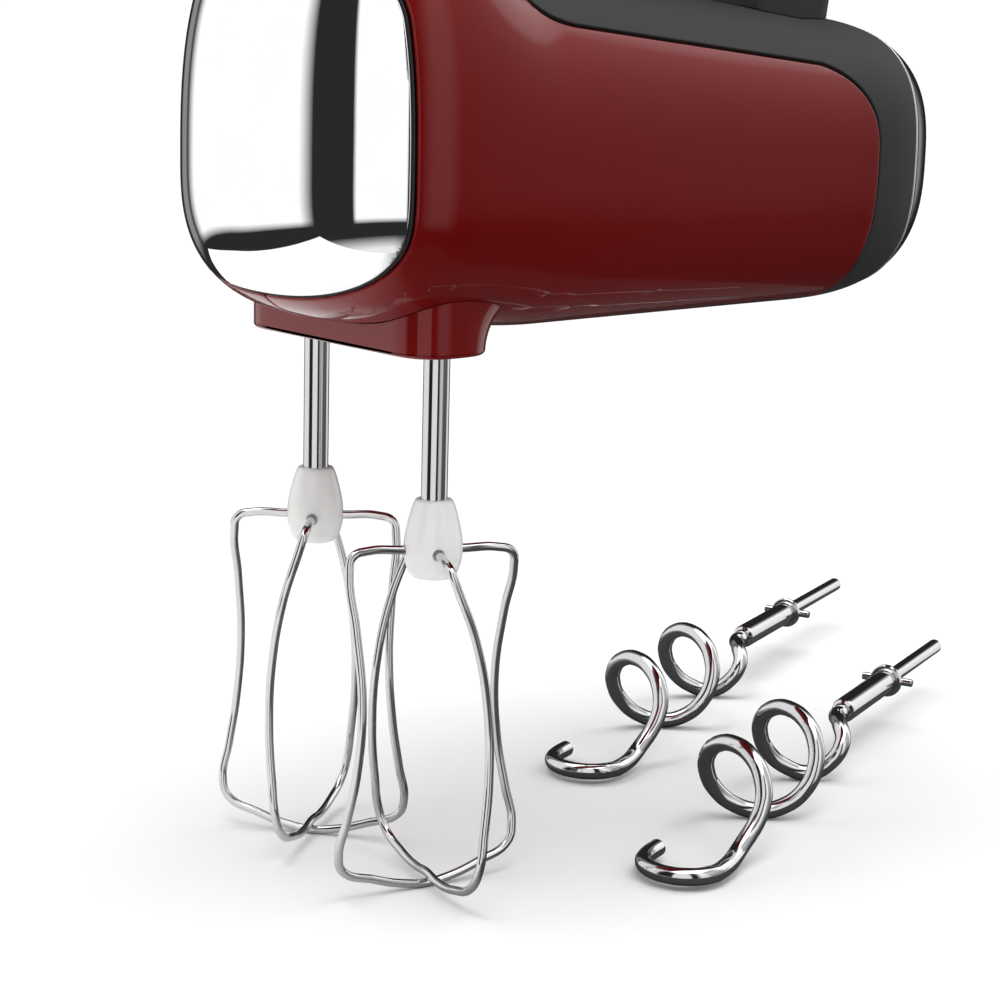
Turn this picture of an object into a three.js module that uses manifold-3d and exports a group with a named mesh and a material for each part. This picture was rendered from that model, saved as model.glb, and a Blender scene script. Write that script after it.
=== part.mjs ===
// Hand mixer with two wire beaters and two dough hooks, in millimetres, +Z up.
// The nose points along -X and the heel along +X. Left is -Y and right is +Y.
// Heights below are measured from the bench; the finished group is moved so that its origin is the
// middle of the handle's grip.

import * as THREE from 'three';
import { mergeVertices } from 'three/addons/utils/BufferGeometryUtils.js';
import Module from 'manifold-3d';

const wasm = await Module();
wasm.setup();

// ---------------------------------------------------------------------------------------------
// Driving dimensions
// ---------------------------------------------------------------------------------------------

const CLEAR = 0.3; // gap between pieces that touch

// Body: a long shell with a round nose, a round heel and a bulging side.
const AXIS_Z = 155; // height of the motor's axis
const SPINE_START = -7; // the nose is round in front of this station
const SPINE_END = 112; // and the heel is round behind this one
const NOSE_LENGTH = 30;
const HEEL_LENGTH = 42;
const NOSE_HALF_WIDTH = 42;
const HEEL_HALF_WIDTH = 37;
const BELLY_DROP = 35; // from the axis down to the belly
const NOSE_DROP = 32; // the same at the nose
const BELLY_X = 30; // the belly is at its full depth behind this station
const NOSE_RISE = 60; // from the axis up to the top of the nose
const DECK_RISE_FRONT = 44; // the same at the front of the deck under the hand
const DECK_RISE_REAR = 33.5; // and at its rear
const DECK_FRONT_X = 20;
const NOSE_POWER = 2.3; // superellipse powers in plan
const HEEL_POWER = 2.8;
const SECTION_POWER = 2.75; // and in height
const WALL = 2.6;

// Where the shells meet
const PANEL_FRONT = [24, 185]; // the red side panel's upper edge, X and height
const PANEL_REAR = [101, 177.5];
const BAND_X = 118.5; // red panel ends and the dark band begins
const SEAM_X = 134; // dark band ends and the rear cap begins
const SEAM_WIDTH = 0.8;
const HEEL_FLAT_X = 152; // flat on the rear cap, on which the body is stood

// Chrome nose cover and its gasket
const COVER_BACK_X = -21.5;
const COVER_BOTTOM_Z = 126.5;
const COVER_TOP_Z = 204;
const COVER_CORNER = 19;
const COVER_SKIN = 1.2;
const GASKET_WIDTH = 0.9;

// Plinth that carries the tool sockets
const PLINTH_Z = 118;
const PLINTH_X = [-13.4, 8];
const PLINTH_HALF_Y = 32.5;
const PLINTH_CORNER = 8.5;
const PLINTH_HEIGHT = 20; // before it is cut to the belly
const PLINTH_FLARE = 6.5; // its rear spreads into the belly by this
const PLINTH_FLARE_Z = 9; // over this height

// Drive
const SPINDLE_SPACING = 42;
const SPINDLE_RADIUS = 4.6;
const SPINDLE_TOP_Z = 174;
const BEATER_SHAFT_RADIUS = 2.8;
const SOCKET_RADIUS = BEATER_SHAFT_RADIUS + CLEAR;
const BUSH_WALL = 1.3;
const BUSH_TOP_Z = 128;
const WHEEL_TEETH = 24;
const WORM_STARTS = 2;
const TOOTH_HEIGHT = 2.2;
const WHEEL_THICKNESS = 8;
const WORM_PITCH_RADIUS = 4.5;
const SHAFT_RADIUS = 3;

// Motor, as stations along X
const WORM_FRONT_X = -17;
const WORM_BACK_X = 15;
const FRONT_BEARING_X = 26;
const FAN_X = 35;
const FAN_RADIUS = 19;
const STATOR_X = 63;
const STATOR_LENGTH = 32;
const STATOR_HALF_Y = 27;
const STATOR_HALF_Z = 24;
const STATOR_BORE = 14.8;
const ARMATURE_RADIUS = 14;
const COMMUTATOR_X = 91;
const COMMUTATOR_RADIUS = 8.5;
const REAR_BEARING_X = 105;
const BEARING_RADIUS = 8;
const BEARING_WIDTH = 5;

// Handle: a loop over the deck
const HANDLE_WIDTH = 32;
const HANDLE_WALL = 2.6;
const HANDLE_EDGE = 7; // rounding along the handle's outer edges
const HANDLE_OUTLINE = [[-16, 176], [-21, 231], [-7, 245], [70, 250], [117, 242], [129, 213], [122, 168]];
const GAP_OUTLINE = [[24, 176], [17, 221], [99, 223], [97, 168]];
const COVER_SPLIT_Z = 240;

// Buttons
const EJECT_TRAVEL = 6;
const TURBO_TRAVEL = 3;
const EJECT_X = 0;
const TURBO_X = 25;
const SLIDER_X = 46;
const SLIDER_TRAVEL = 14;

// Beaters
const BAR_Z = 75.7; // height of the wires' upper bar
const HUB_TOP_Z = 86.6;
const BEATER_TOP_Z = 162;
const WIRE_RADIUS = 0.95;
// Half of one loop, from the hub to the tip: radius and height
const LOOP_PROFILE = [
  [6.7, 75.7], [14, 75.7], [17.4, 74.6], [18.4, 71], [18.5, 60], [18.9, 45], [20, 30],
  [21.2, 19], [22.1, 11], [20.6, 7], [13, 3.8], [6, 1.7], [0, 0.95],
];
// Sideways sweep of a wire, in degrees, from its bar down to its foot: height and angle
const LOOP_SWEEP = [
  [0, 12], [5, 14], [11, 17], [20, 21.5], [30, 25.5], [40, 27], [50, 24.5], [60, 17], [68, 8], [76, 0],
];
const LOOP_STEPS = 42;
const LOOP_ANGLES = { right: [-41, 47], left: [-26, 62] }; // of each beater's two loops at its hub
const LOOP_SWEEP_SHARE = { right: 0.88, left: 1.1 };
const LOOP_CROSSING = 2.4; // the second loop's foot passes this far over the first

// Dough hooks, each lying along its own axis
const HOOK_BAR_RADIUS = 2;
const HOOK_LENGTH = 186;
const HOOK_SLEEVE = [110, 143]; // stations of the thick sleeve
const HOOK_SLEEVE_RADIUS = 3.2;
const HOOK_COIL = [97, 30]; // stations between which the wire coils
const HOOK_COIL_RADIUS = 10.5;
const HOOK_TURNS = 2;
const HOOK_BEND_RADIUS = 9;
const HOOKS = [
  { side: 'right', foot: [72, 12], heading: 21, hand: 1 },
  { side: 'left', foot: [40, -54], heading: 21, hand: 1 },
];

// The frame's origin, in the middle of the grip
const GRIP_X = 58;
const GRIP_Z = 236;

// Values worked out from the ones above
const SIDE_Y = { left: -SPINDLE_SPACING / 2, right: SPINDLE_SPACING / 2 };
const SIDES = ['left', 'right'];
const WHEEL_PITCH_RADIUS = SPINDLE_SPACING / 2 - WORM_PITCH_RADIUS;
const THREAD_PITCH = (2 * Math.PI * WHEEL_PITCH_RADIUS) / WHEEL_TEETH;
const MESH_GAP = 0.6; // tips stand back from the meshing roots by this
const WHEEL_TIP_RADIUS = WHEEL_PITCH_RADIUS + TOOTH_HEIGHT / 2 - MESH_GAP / 2;
const BUSH_RADIUS = SPINDLE_RADIUS + CLEAR + BUSH_WALL;

// ---------------------------------------------------------------------------------------------
// Solids
// ---------------------------------------------------------------------------------------------

/** A closed geometry as a solid that can be joined and cut. */
function solid(geometry) {
  const bare = geometry.clone();
  bare.deleteAttribute('normal');
  bare.deleteAttribute('uv');
  const merged = mergeVertices(bare, 1e-4);
  const made = new wasm.Manifold(new wasm.Mesh({
    numProp: 3,
    vertProperties: new Float32Array(merged.attributes.position.array),
    triVerts: new Uint32Array(merged.index.array),
  }));
  if (made.volume() >= 0) return made;
  const turned = new Uint32Array(merged.index.array).reverse();
  return new wasm.Manifold(new wasm.Mesh({
    numProp: 3,
    vertProperties: new Float32Array(merged.attributes.position.array),
    triVerts: turned,
  }));
}

/** A solid as a geometry. */
function geometryOf(made) {
  const mesh = made.getMesh();
  const geometry = new THREE.BufferGeometry();
  geometry.setAttribute('position', new THREE.BufferAttribute(new Float32Array(mesh.vertProperties), 3));
  geometry.setIndex(new THREE.BufferAttribute(new Uint32Array(mesh.triVerts), 1));
  const flat = geometry.toNonIndexed();
  flat.computeVertexNormals();
  return flat;
}

const join = (first, ...rest) => rest.reduce((whole, next) => whole.add(next), first);
const cut = (first, ...rest) => rest.reduce((whole, next) => whole.subtract(next), first);

/** A box from its two corners. */
function box(low, high) {
  const size = high.map((value, i) => value - low[i]);
  const middle = high.map((value, i) => (value + low[i]) / 2);
  return solid(new THREE.BoxGeometry(...size).translate(...middle));
}

/** A round bar between two points on one of the axes. */
function bar(axis, radius, from, to, [x, y, z], sides = 24) {
  const geometry = new THREE.CylinderGeometry(radius, radius, to - from, sides);
  if (axis === 'x') geometry.rotateZ(-Math.PI / 2).translate((from + to) / 2, y, z);
  if (axis === 'y') geometry.translate(x, (from + to) / 2, z);
  if (axis === 'z') geometry.rotateX(Math.PI / 2).translate(x, y, (from + to) / 2);
  return solid(geometry);
}

/** A turned solid about a vertical axis: profile points are radius and height. */
function turned(profile, x, y, sides = 24) {
  const points = profile.map(([radius, height]) => new THREE.Vector2(radius, height));
  return solid(new THREE.LatheGeometry(points, sides).rotateX(Math.PI / 2).translate(x, y, 0));
}

/** A plain ring about a vertical axis. */
const ring = (inner, outer, from, to, x, y, sides = 24) =>
  turned([[inner, from], [outer, from], [outer, to], [inner, to], [inner, from]], x, y, sides);

/** A side-view outline, in X and height, made into a slab across Y. */
function slab(shape, from, to, bevel = 0) {
  const geometry = new THREE.ExtrudeGeometry(shape, {
    depth: to - from - 2 * bevel, curveSegments: 6,
    bevelEnabled: bevel > 0, bevelSize: bevel, bevelThickness: bevel, bevelOffset: -bevel, bevelSegments: 3,
  });
  return solid(geometry.rotateX(Math.PI / 2).translate(0, to - bevel, 0));
}

/** A closed outline through corner points, each rounded by a radius. */
function roundedShape(corners, radius) {
  const shape = new THREE.Shape();
  const points = corners.map(([x, y]) => new THREE.Vector2(x, y));
  points.forEach((corner, i) => {
    const before = points[(i + points.length - 1) % points.length];
    const after = points[(i + 1) % points.length];
    const reach = Math.min(radius, corner.distanceTo(before) / 2, corner.distanceTo(after) / 2);
    const enter = corner.clone().lerp(before, reach / corner.distanceTo(before));
    const leave = corner.clone().lerp(after, reach / corner.distanceTo(after));
    if (i === 0) shape.moveTo(enter.x, enter.y);
    else shape.lineTo(enter.x, enter.y);
    shape.quadraticCurveTo(corner.x, corner.y, leave.x, leave.y);
  });
  shape.closePath();
  return shape;
}

/** A convex outline moved inwards by a distance, or outwards where it is negative. */
function moveEdges(corners, distance) {
  const area = corners.reduce((sum, [x, y], i) => {
    const [nextX, nextY] = corners[(i + 1) % corners.length];
    return sum + x * nextY - nextX * y;
  }, 0);
  const inward = Math.sign(area) * distance;
  const lines = corners.map(([x, y], i) => {
    const [nextX, nextY] = corners[(i + 1) % corners.length];
    const length = Math.hypot(nextX - x, nextY - y);
    const along = [(nextX - x) / length, (nextY - y) / length];
    return { at: [x - along[1] * inward, y + along[0] * inward], along };
  });
  return lines.map((line, i) => {
    const last = lines[(i + lines.length - 1) % lines.length];
    const cross = last.along[0] * line.along[1] - last.along[1] * line.along[0];
    const away = [line.at[0] - last.at[0], line.at[1] - last.at[1]];
    const step = (away[0] * line.along[1] - away[1] * line.along[0]) / cross;
    return [last.at[0] + last.along[0] * step, last.at[1] + last.along[1] * step];
  });
}

/** A round wire along a curve. */
function wire(curve, radius, steps, sides = 6) {
  const section = new THREE.Shape();
  for (let i = 0; i < sides; i += 1) {
    const angle = (2 * Math.PI * i) / sides;
    const corner = [radius * Math.cos(angle), radius * Math.sin(angle)];
    if (i === 0) section.moveTo(...corner);
    else section.lineTo(...corner);
  }
  section.closePath();
  return solid(new THREE.ExtrudeGeometry(section, { steps, extrudePath: curve, bevelEnabled: false }));
}

/** A coil spring about a vertical axis. */
function spring(x, y, from, to, coilRadius, wireRadius, turns) {
  const points = [];
  const steps = turns * 10;
  for (let i = 0; i <= steps; i += 1) {
    const angle = (2 * Math.PI * turns * i) / steps;
    const height = from + wireRadius + ((to - from - 2 * wireRadius) * i) / steps;
    const round = [x + coilRadius * Math.cos(angle), y + coilRadius * Math.sin(angle)];
    points.push(new THREE.Vector3(...round, height));
  }
  return wire(new THREE.CatmullRomCurve3(points), wireRadius, steps, 5);
}

// ---------------------------------------------------------------------------------------------
// Body shell
// ---------------------------------------------------------------------------------------------

const mix = (from, to, share) => from + (to - from) * share;

/** Half of the plan outline, from the nose's tip to the heel's tip, moved inwards by an inset. */
function planOutline(inset) {
  const arcSteps = 6;
  const points = [];
  for (let i = 0; i <= arcSteps; i += 1) {
    const angle = (Math.PI / 2) * (i / arcSteps);
    points.push({
      spine: SPINE_START,
      x: SPINE_START - (NOSE_LENGTH - inset) * Math.cos(angle) ** (2 / NOSE_POWER),
      y: (NOSE_HALF_WIDTH - inset) * Math.sin(angle) ** (2 / NOSE_POWER),
    });
  }
  points.at(-1).x = SPINE_START;
  for (const share of [0.12, 0.227, 0.5, 0.75]) {
    const spine = mix(SPINE_START, SPINE_END, share);
    points.push({ spine, x: spine, y: mix(NOSE_HALF_WIDTH, HEEL_HALF_WIDTH, share) - inset });
  }
  for (let i = arcSteps; i >= 0; i -= 1) {
    const angle = (Math.PI / 2) * (i / arcSteps);
    points.push({
      spine: SPINE_END,
      x: SPINE_END + (HEEL_LENGTH - inset) * Math.cos(angle) ** (2 / HEEL_POWER),
      y: (HEEL_HALF_WIDTH - inset) * Math.sin(angle) ** (2 / HEEL_POWER),
    });
  }
  points[0].y = 0;
  points.at(-1).y = 0;
  return points;
}

/** Height of the body's top above the axis at a station. */
function rise(station) {
  if (station < DECK_FRONT_X) {
    const share = (station - SPINE_START) / (DECK_FRONT_X - SPINE_START);
    return mix(NOSE_RISE, DECK_RISE_FRONT, Math.sin((Math.PI / 2) * share) ** 1.5);
  }
  return mix(DECK_RISE_FRONT, DECK_RISE_REAR, (station - DECK_FRONT_X) / (SPINE_END - DECK_FRONT_X));
}

/** Depth of the belly below the axis at a station. */
function drop(station) {
  const share = Math.min(1, (station - SPINE_START) / (BELLY_X - SPINE_START));
  return mix(NOSE_DROP, BELLY_DROP, (1 - Math.cos(Math.PI * share)) / 2);
}

/** The body's outer form as one solid, moved inwards by an inset. */
function body(inset) {
  const plan = planOutline(inset);
  const last = plan.length - 1;
  const levels = [-80, -66, -50, -32, -12, 0, 12, 32, 50, 66, 80].map((degrees) => {
    const angle = (degrees * Math.PI) / 180;
    return {
      height: Math.sign(angle) * Math.abs(Math.sin(angle)) ** (2 / SECTION_POWER),
      spread: Math.cos(angle) ** (2 / SECTION_POWER),
    };
  });
  const count = 2 * last;
  const positions = [];
  for (const { height, spread } of levels) {
    for (let i = 0; i < count; i += 1) {
      const point = plan[i <= last ? i : count - i];
      const side = i <= last ? 1 : -1;
      const reach = (height < 0 ? drop(point.spine) : rise(point.spine)) - inset;
      const x = point.spine + (point.x - point.spine) * spread;
      positions.push(x, side * point.y * spread, AXIS_Z + reach * height);
    }
  }
  const faces = [];
  for (let level = 0; level + 1 < levels.length; level += 1) {
    for (let i = 0; i < count; i += 1) {
      const a = level * count + i;
      const b = level * count + ((i + 1) % count);
      faces.push(a, a + count, b, b, a + count, b + count);
    }
  }
  const top = (levels.length - 1) * count;
  for (let i = 0; i < last; i += 1) {
    const across = [(count - i) % count, count - i - 1];
    if (i > 0) {
      faces.push(i, i + 1, across[0]);
      faces.push(top + i, top + across[0], top + i + 1);
    }
    if (i + 1 < last) {
      faces.push(i + 1, across[1], across[0]);
      faces.push(top + i + 1, top + across[0], top + across[1]);
    }
  }
  const geometry = new THREE.BufferGeometry();
  geometry.setAttribute('position', new THREE.Float32BufferAttribute(positions, 3));
  geometry.setIndex(faces);
  return solid(geometry);
}

const BODY = body(0);
const SHELL = cut(BODY, body(WALL));
const AROUND_BODY = body(-CLEAR);
const REACH = 200; // cutting slabs run past every wall

/** The red side panels' region, grown upwards and backwards by a gap. */
function panelRegion(grow) {
  const [frontX, frontZ] = PANEL_FRONT;
  const [rearX, rearZ] = PANEL_REAR;
  const line = [[frontX - 12, frontZ + 5], [frontX, frontZ], [rearX, rearZ], [rearX + 9, rearZ - 4.5]];
  const shape = new THREE.Shape();
  shape.moveTo(-REACH, AXIS_Z - REACH);
  shape.lineTo(BAND_X + grow, AXIS_Z - REACH);
  shape.lineTo(BAND_X + grow, AXIS_Z + 2);
  shape.quadraticCurveTo(BAND_X + grow, rearZ - 8 + grow, line[3][0] + grow, line[3][1] + grow);
  shape.quadraticCurveTo(rearX + 5 + grow, rearZ - 0.5 + grow, rearX + grow, rearZ + grow);
  shape.lineTo(frontX + grow, frontZ + grow);
  shape.quadraticCurveTo(frontX - 8 + grow, frontZ + 1 + grow, line[0][0] + grow, line[0][1] + grow);
  shape.lineTo(frontX - 22 + grow, frontZ + 17 + grow);
  shape.lineTo(frontX - 30 + grow, AXIS_Z + NOSE_RISE + 5);
  shape.lineTo(-REACH, AXIS_Z + NOSE_RISE + 5);
  shape.closePath();
  return slab(shape, -NOSE_HALF_WIDTH - 10, NOSE_HALF_WIDTH + 10);
}

/** The nose cover's region, grown all round by a gap. */
function coverRegion(grow) {
  const back = COVER_BACK_X + grow;
  const low = COVER_BOTTOM_Z - grow;
  const high = COVER_TOP_Z + grow;
  const front = SPINE_START - NOSE_LENGTH - 10;
  const corner = COVER_CORNER + grow;
  const shape = new THREE.Shape();
  shape.moveTo(front, low);
  shape.lineTo(back - corner, low);
  shape.absarc(back - corner, low + corner, corner, -Math.PI / 2, 0);
  shape.lineTo(back, high - corner);
  shape.absarc(back - corner, high - corner, corner, 0, Math.PI / 2);
  shape.lineTo(front, high);
  shape.closePath();
  return slab(shape, -NOSE_HALF_WIDTH - 10, NOSE_HALF_WIDTH + 10);
}

const HALF = {
  left: box([-REACH, -REACH, 0], [REACH, -CLEAR / 2, 2 * REACH]),
  right: box([-REACH, CLEAR / 2, 0], [REACH, REACH, 2 * REACH]),
};
const SEAM = box([SEAM_X, -REACH, 0], [SEAM_X + SEAM_WIDTH, REACH, 2 * REACH]);
const BEHIND_SEAM = box([SEAM_X + SEAM_WIDTH + CLEAR, -REACH, 0], [HEEL_FLAT_X, REACH, 2 * REACH]);
const FROM_SEAM_BACK = box([SEAM_X - CLEAR, -REACH, 0], [REACH, REACH, 2 * REACH]);

const SCREW_RADIUS = 1.6;
const SCREW_HEAD_RADIUS = 3.2;
const SCREW_HEAD_HEIGHT = 2;
const SCREW_POST_RADIUS = 5;
const HOUSING_SCREWS = { front: [38, 131], rear: [98, 131] }; // X and height
const HANDLE_SCREWS = { front: 77, rear: 92 }; // X
const SCREW_SEAT_Y = 28; // the heads sit this far from the middle plane
const EJECT_ROD_RADIUS = 2.2;
const socketHoles = SIDES.map((side) =>
  bar('z', BUSH_RADIUS + CLEAR, PLINTH_Z - 5, BUSH_TOP_Z + 5, [0, SIDE_Y[side], 0]));

/** One red half shell, with its screw posts, the cover's recess and the holes through it. */
function housing(side) {
  const sign = Math.sign(SIDE_Y[side]);
  const span = side === 'left' ? [-NOSE_HALF_WIDTH, -CLEAR / 2] : [CLEAR / 2, NOSE_HALF_WIDTH];
  let shell = SHELL;
  for (const [x, z] of Object.values(HOUSING_SCREWS)) {
    shell = join(shell, bar('y', SCREW_POST_RADIUS, ...span, [x, 0, z], 16).intersect(body(0.8)));
  }
  const recess = cut(coverRegion(GASKET_WIDTH + 2 * CLEAR), body(COVER_SKIN + CLEAR));
  shell = cut(shell, recess, bar('z', EJECT_ROD_RADIUS + CLEAR, AXIS_Z, REACH * 2, [EJECT_X, 0, 0], 12));
  const wheelRoom = bar('z', WHEEL_TIP_RADIUS + CLEAR, AXIS_Z - WHEEL_THICKNESS, AXIS_Z + WHEEL_THICKNESS,
    [0, SIDE_Y[side], 0]);
  shell = cut(shell, wheelRoom, ...socketHoles).intersect(panelRegion(0)).intersect(HALF[side]);
  for (const [x, z] of Object.values(HOUSING_SCREWS)) {
    const hole = bar('y', SCREW_RADIUS + CLEAR, -SCREW_SEAT_Y + 4, REACH, [x, 0, z], 12);
    const counterbore = bar('y', SCREW_HEAD_RADIUS + CLEAR, SCREW_SEAT_Y, REACH, [x, 0, z], 16);
    shell = cut(shell, hole);
    if (sign > 0) shell = cut(shell, counterbore);
  }
  return shell;
}

const LEAD_HOLE = [105, 115]; // opening under the handle's rear pillar for the leads
const LEAD_HOLE_HALF_Y = 6;
const SLOT_PAIRS = 3; // cooling slots on each side of the middle one
const SLOT_PITCH = 4;
const SLOT_WIDTH = 1.8;
const SLOT_END = 3; // they stop this far from the band's edges

/** The dark deck and band behind the red panels, with cooling slots in the band's belly. */
function upperHousing() {
  const slots = [];
  for (let i = -SLOT_PAIRS; i <= SLOT_PAIRS; i += 1) {
    const y = i * SLOT_PITCH;
    slots.push(box(
      [BAND_X + SLOT_END, y - SLOT_WIDTH / 2, 0],
      [SEAM_X - SLOT_END, y + SLOT_WIDTH / 2, AXIS_Z - BELLY_DROP + 8],
    ));
  }
  const openings = [
    bar('z', EJECT_ROD_RADIUS + CLEAR, AXIS_Z, REACH * 2, [EJECT_X, 0, 0], 12),
    box([LEAD_HOLE[0], -LEAD_HOLE_HALF_Y, AXIS_Z], [LEAD_HOLE[1], LEAD_HOLE_HALF_Y, AXIS_Z + NOSE_RISE]),
  ];
  return cut(SHELL, panelRegion(CLEAR), FROM_SEAM_BACK, ...slots, ...openings);
}

const seamTrim = () => SHELL.intersect(SEAM);

/** The glossy rear cap, with a solid pad behind its flat heel. */
function rearCap() {
  const pad = box([HEEL_FLAT_X - WALL, -REACH, 0], [HEEL_FLAT_X, REACH, 2 * REACH]).intersect(BODY);
  return join(SHELL.intersect(BEHIND_SEAM), pad);
}

const noseCover = () => cut(BODY, body(COVER_SKIN)).intersect(coverRegion(0));
const noseGasket = () =>
  cut(cut(body(0.2), body(COVER_SKIN)).intersect(coverRegion(GASKET_WIDTH + CLEAR)), coverRegion(CLEAR));

/** The plinth under the nose: a rounded block that flares backwards into the belly, with socket holes. */
function plinth() {
  const [front, back] = PLINTH_X;
  const outline = [[front, -1], [back, -1], [back, 1], [front, 1]].map(([x, side]) => [x, side * PLINTH_HALF_Y]);
  const block = new THREE.ExtrudeGeometry(roundedShape(outline, PLINTH_CORNER), {
    depth: PLINTH_HEIGHT, steps: PLINTH_HEIGHT / 2, bevelEnabled: false, curveSegments: 5,
  });
  const spots = block.attributes.position;
  for (let i = 0; i < spots.count; i += 1) {
    const share = Math.min(1, spots.getZ(i) / PLINTH_FLARE_Z);
    const behind = Math.max(0, spots.getX(i)) / back;
    spots.setX(i, spots.getX(i) + PLINTH_FLARE * behind * (1 - Math.sqrt(1 - share * share)));
  }
  return cut(solid(block.translate(0, 0, PLINTH_Z)), AROUND_BODY, ...socketHoles);
}

const spindleBush = (y) =>
  ring(SPINDLE_RADIUS + CLEAR, BUSH_RADIUS, PLINTH_Z + 0.8, BUSH_TOP_Z, 0, y);

// ---------------------------------------------------------------------------------------------
// Handle and buttons
// ---------------------------------------------------------------------------------------------

/** The handle's loop moved inwards by an inset. */
function handleLoop(inset, bevel) {
  const half = HANDLE_WIDTH / 2 - inset;
  const outer = slab(roundedShape(moveEdges(HANDLE_OUTLINE, inset), 16), -half, half, bevel);
  const gap = slab(roundedShape(moveEdges(GAP_OUTLINE, -inset), 9), -HANDLE_WIDTH, HANDLE_WIDTH);
  return cut(outer, gap);
}

const handleShell = () => cut(handleLoop(0, HANDLE_EDGE), handleLoop(HANDLE_WALL, HANDLE_EDGE - HANDLE_WALL));

const EJECT_HALF = [7, 7];
const TURBO_HALF = [6, 6];
const SLIDER_HALF = [6, 4.5];
const BUTTON_PROUD = 2.2;
const handleTop = (x) => {
  const [, , [x1, z1], [x2, z2], [x3, z3]] = HANDLE_OUTLINE;
  return x < x2 ? mix(z1, z2, (x - x1) / (x2 - x1)) : mix(z2, z3, (x - x2) / (x3 - x2));
};

/** A block around a point of the handle's top, wider than a button by a gap. */
function buttonBlock(x, [halfX, halfY], low, high, grow = 0, travel = 0) {
  return box([x - halfX - grow, -halfY - grow, low], [x + halfX + grow + travel, halfY + grow, high]);
}

/** Height of the grip's inner floor at a station. */
const handleFloor = (x) => {
  const [, [x1, z1], [x2, z2]] = GAP_OUTLINE;
  return mix(z1, z2, (x - x1) / (x2 - x1)) + HANDLE_WALL + CLEAR;
};
const handleScrewHole = (x, radius, from, to) => bar('z', radius, from, to, [x, 0, 0], 12);
const handleScrewSeat = (x) => handleFloor(x) - HANDLE_WALL + SCREW_HEAD_HEIGHT + 2 * CLEAR;
const SEAT_WALL = 1.6; // material between a handle screw's seat and the post above it

const CORD_EXIT = { z: 207, radius: 5.5, bore: 3.2, from: 119, to: 142 };

/** The handle's lower shell: pillars, grip and the floor under the fingers' side. */
function handleLower() {
  const shell = cut(handleShell(), AROUND_BODY);
  const below = box([-REACH, -REACH, 0], [REACH, REACH, COVER_SPLIT_Z - CLEAR]);
  let lower = shell.intersect(below);
  for (const x of Object.values(HANDLE_SCREWS)) {
    const seat = handleScrewSeat(x);
    const floor = handleFloor(x) - HANDLE_WALL;
    const boss = handleScrewHole(x, SCREW_HEAD_RADIUS + HANDLE_WALL, floor, seat + SEAT_WALL);
    const counterbore = handleScrewHole(x, SCREW_HEAD_RADIUS + CLEAR, AXIS_Z, seat);
    const hole = handleScrewHole(x, SCREW_RADIUS + CLEAR, AXIS_Z, COVER_SPLIT_Z);
    lower = cut(join(lower, boss), counterbore, hole);
  }
  return cut(
    lower,
    bar('x', CORD_EXIT.radius + CLEAR, CORD_EXIT.from, REACH, [0, 0, CORD_EXIT.z], 16),
  );
}

/** The handle's top cover, with openings for the buttons and posts for its screws. */
function handleCover() {
  const above = box([-REACH, -REACH, COVER_SPLIT_Z], [REACH, REACH, 2 * REACH]);
  let cover = handleShell().intersect(above);
  for (const x of Object.values(HANDLE_SCREWS)) {
    const foot = handleScrewSeat(x) + SEAT_WALL + CLEAR;
    const post = handleScrewHole(x, SCREW_RADIUS + 2, foot, handleTop(x) - 1);
    cover = cut(join(cover, post), handleScrewHole(x, SCREW_RADIUS + CLEAR, 0, COVER_SPLIT_Z + 3));
  }
  return cut(
    cover,
    buttonBlock(EJECT_X, EJECT_HALF, COVER_SPLIT_Z - 5, REACH * 2, CLEAR),
    buttonBlock(TURBO_X, TURBO_HALF, COVER_SPLIT_Z - 5, REACH * 2, CLEAR),
    buttonBlock(SLIDER_X, SLIDER_HALF, COVER_SPLIT_Z - 5, REACH * 2, CLEAR, SLIDER_TRAVEL),
  );
}

const EJECT_BUTTON_Z = 235;
const EJECT_PLATE_Z = SPINDLE_TOP_Z + EJECT_TRAVEL + 1;
const ejectButton = () =>
  buttonBlock(EJECT_X, EJECT_HALF, EJECT_BUTTON_Z, handleTop(EJECT_X) + BUTTON_PROUD);
const TURBO_BUTTON_Z = 237;
const turboButton = () =>
  buttonBlock(TURBO_X, TURBO_HALF, TURBO_BUTTON_Z, handleTop(TURBO_X) + BUTTON_PROUD);
const SLIDER_BOTTOM_Z = 239.5;
const speedSlider = () => buttonBlock(SLIDER_X, SLIDER_HALF, SLIDER_BOTTOM_Z, handleTop(SLIDER_X) + 3);

/** The ejector: a bridge over both spindles with a pin in each, and a rod up to its button. */
function ejector() {
  const bridge = box([-5, SIDE_Y.left - 5, EJECT_PLATE_Z], [5, SIDE_Y.right + 5, EJECT_PLATE_Z + 2.5]);
  const pins = SIDES.map((side) =>
    bar('z', SOCKET_RADIUS - 0.5, BEATER_TOP_Z + 0.8, EJECT_PLATE_Z + 1, [0, SIDE_Y[side], 0], 12));
  const rod = bar('z', EJECT_ROD_RADIUS, EJECT_PLATE_Z + 1, EJECT_BUTTON_Z - CLEAR, [EJECT_X, 0, 0], 12);
  return join(bridge, ...pins, rod);
}

const NOSE_TOP_Z = AXIS_Z + rise(EJECT_X);
const ejectSpring = () => spring(EJECT_X, 0, NOSE_TOP_Z + 1.5, EJECT_BUTTON_Z - CLEAR, 4.6, 0.7, 4);
const turboSpring = () => spring(TURBO_X, 0, handleFloor(TURBO_X + 5), TURBO_BUTTON_Z - CLEAR, 3.6, 0.5, 3);
const SWITCH_HALF_Y = 8;
const SWITCH_FRONT = 9; // its body starts this far in front of the slider's station
/** The switch under the slider's whole travel. */
function speedSwitch() {
  const back = SLIDER_X + SLIDER_TRAVEL + 9;
  const top = SLIDER_BOTTOM_Z - CLEAR;
  return box([SLIDER_X - SWITCH_FRONT, -SWITCH_HALF_Y, handleFloor(back)], [back, SWITCH_HALF_Y, top]);
}

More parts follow.
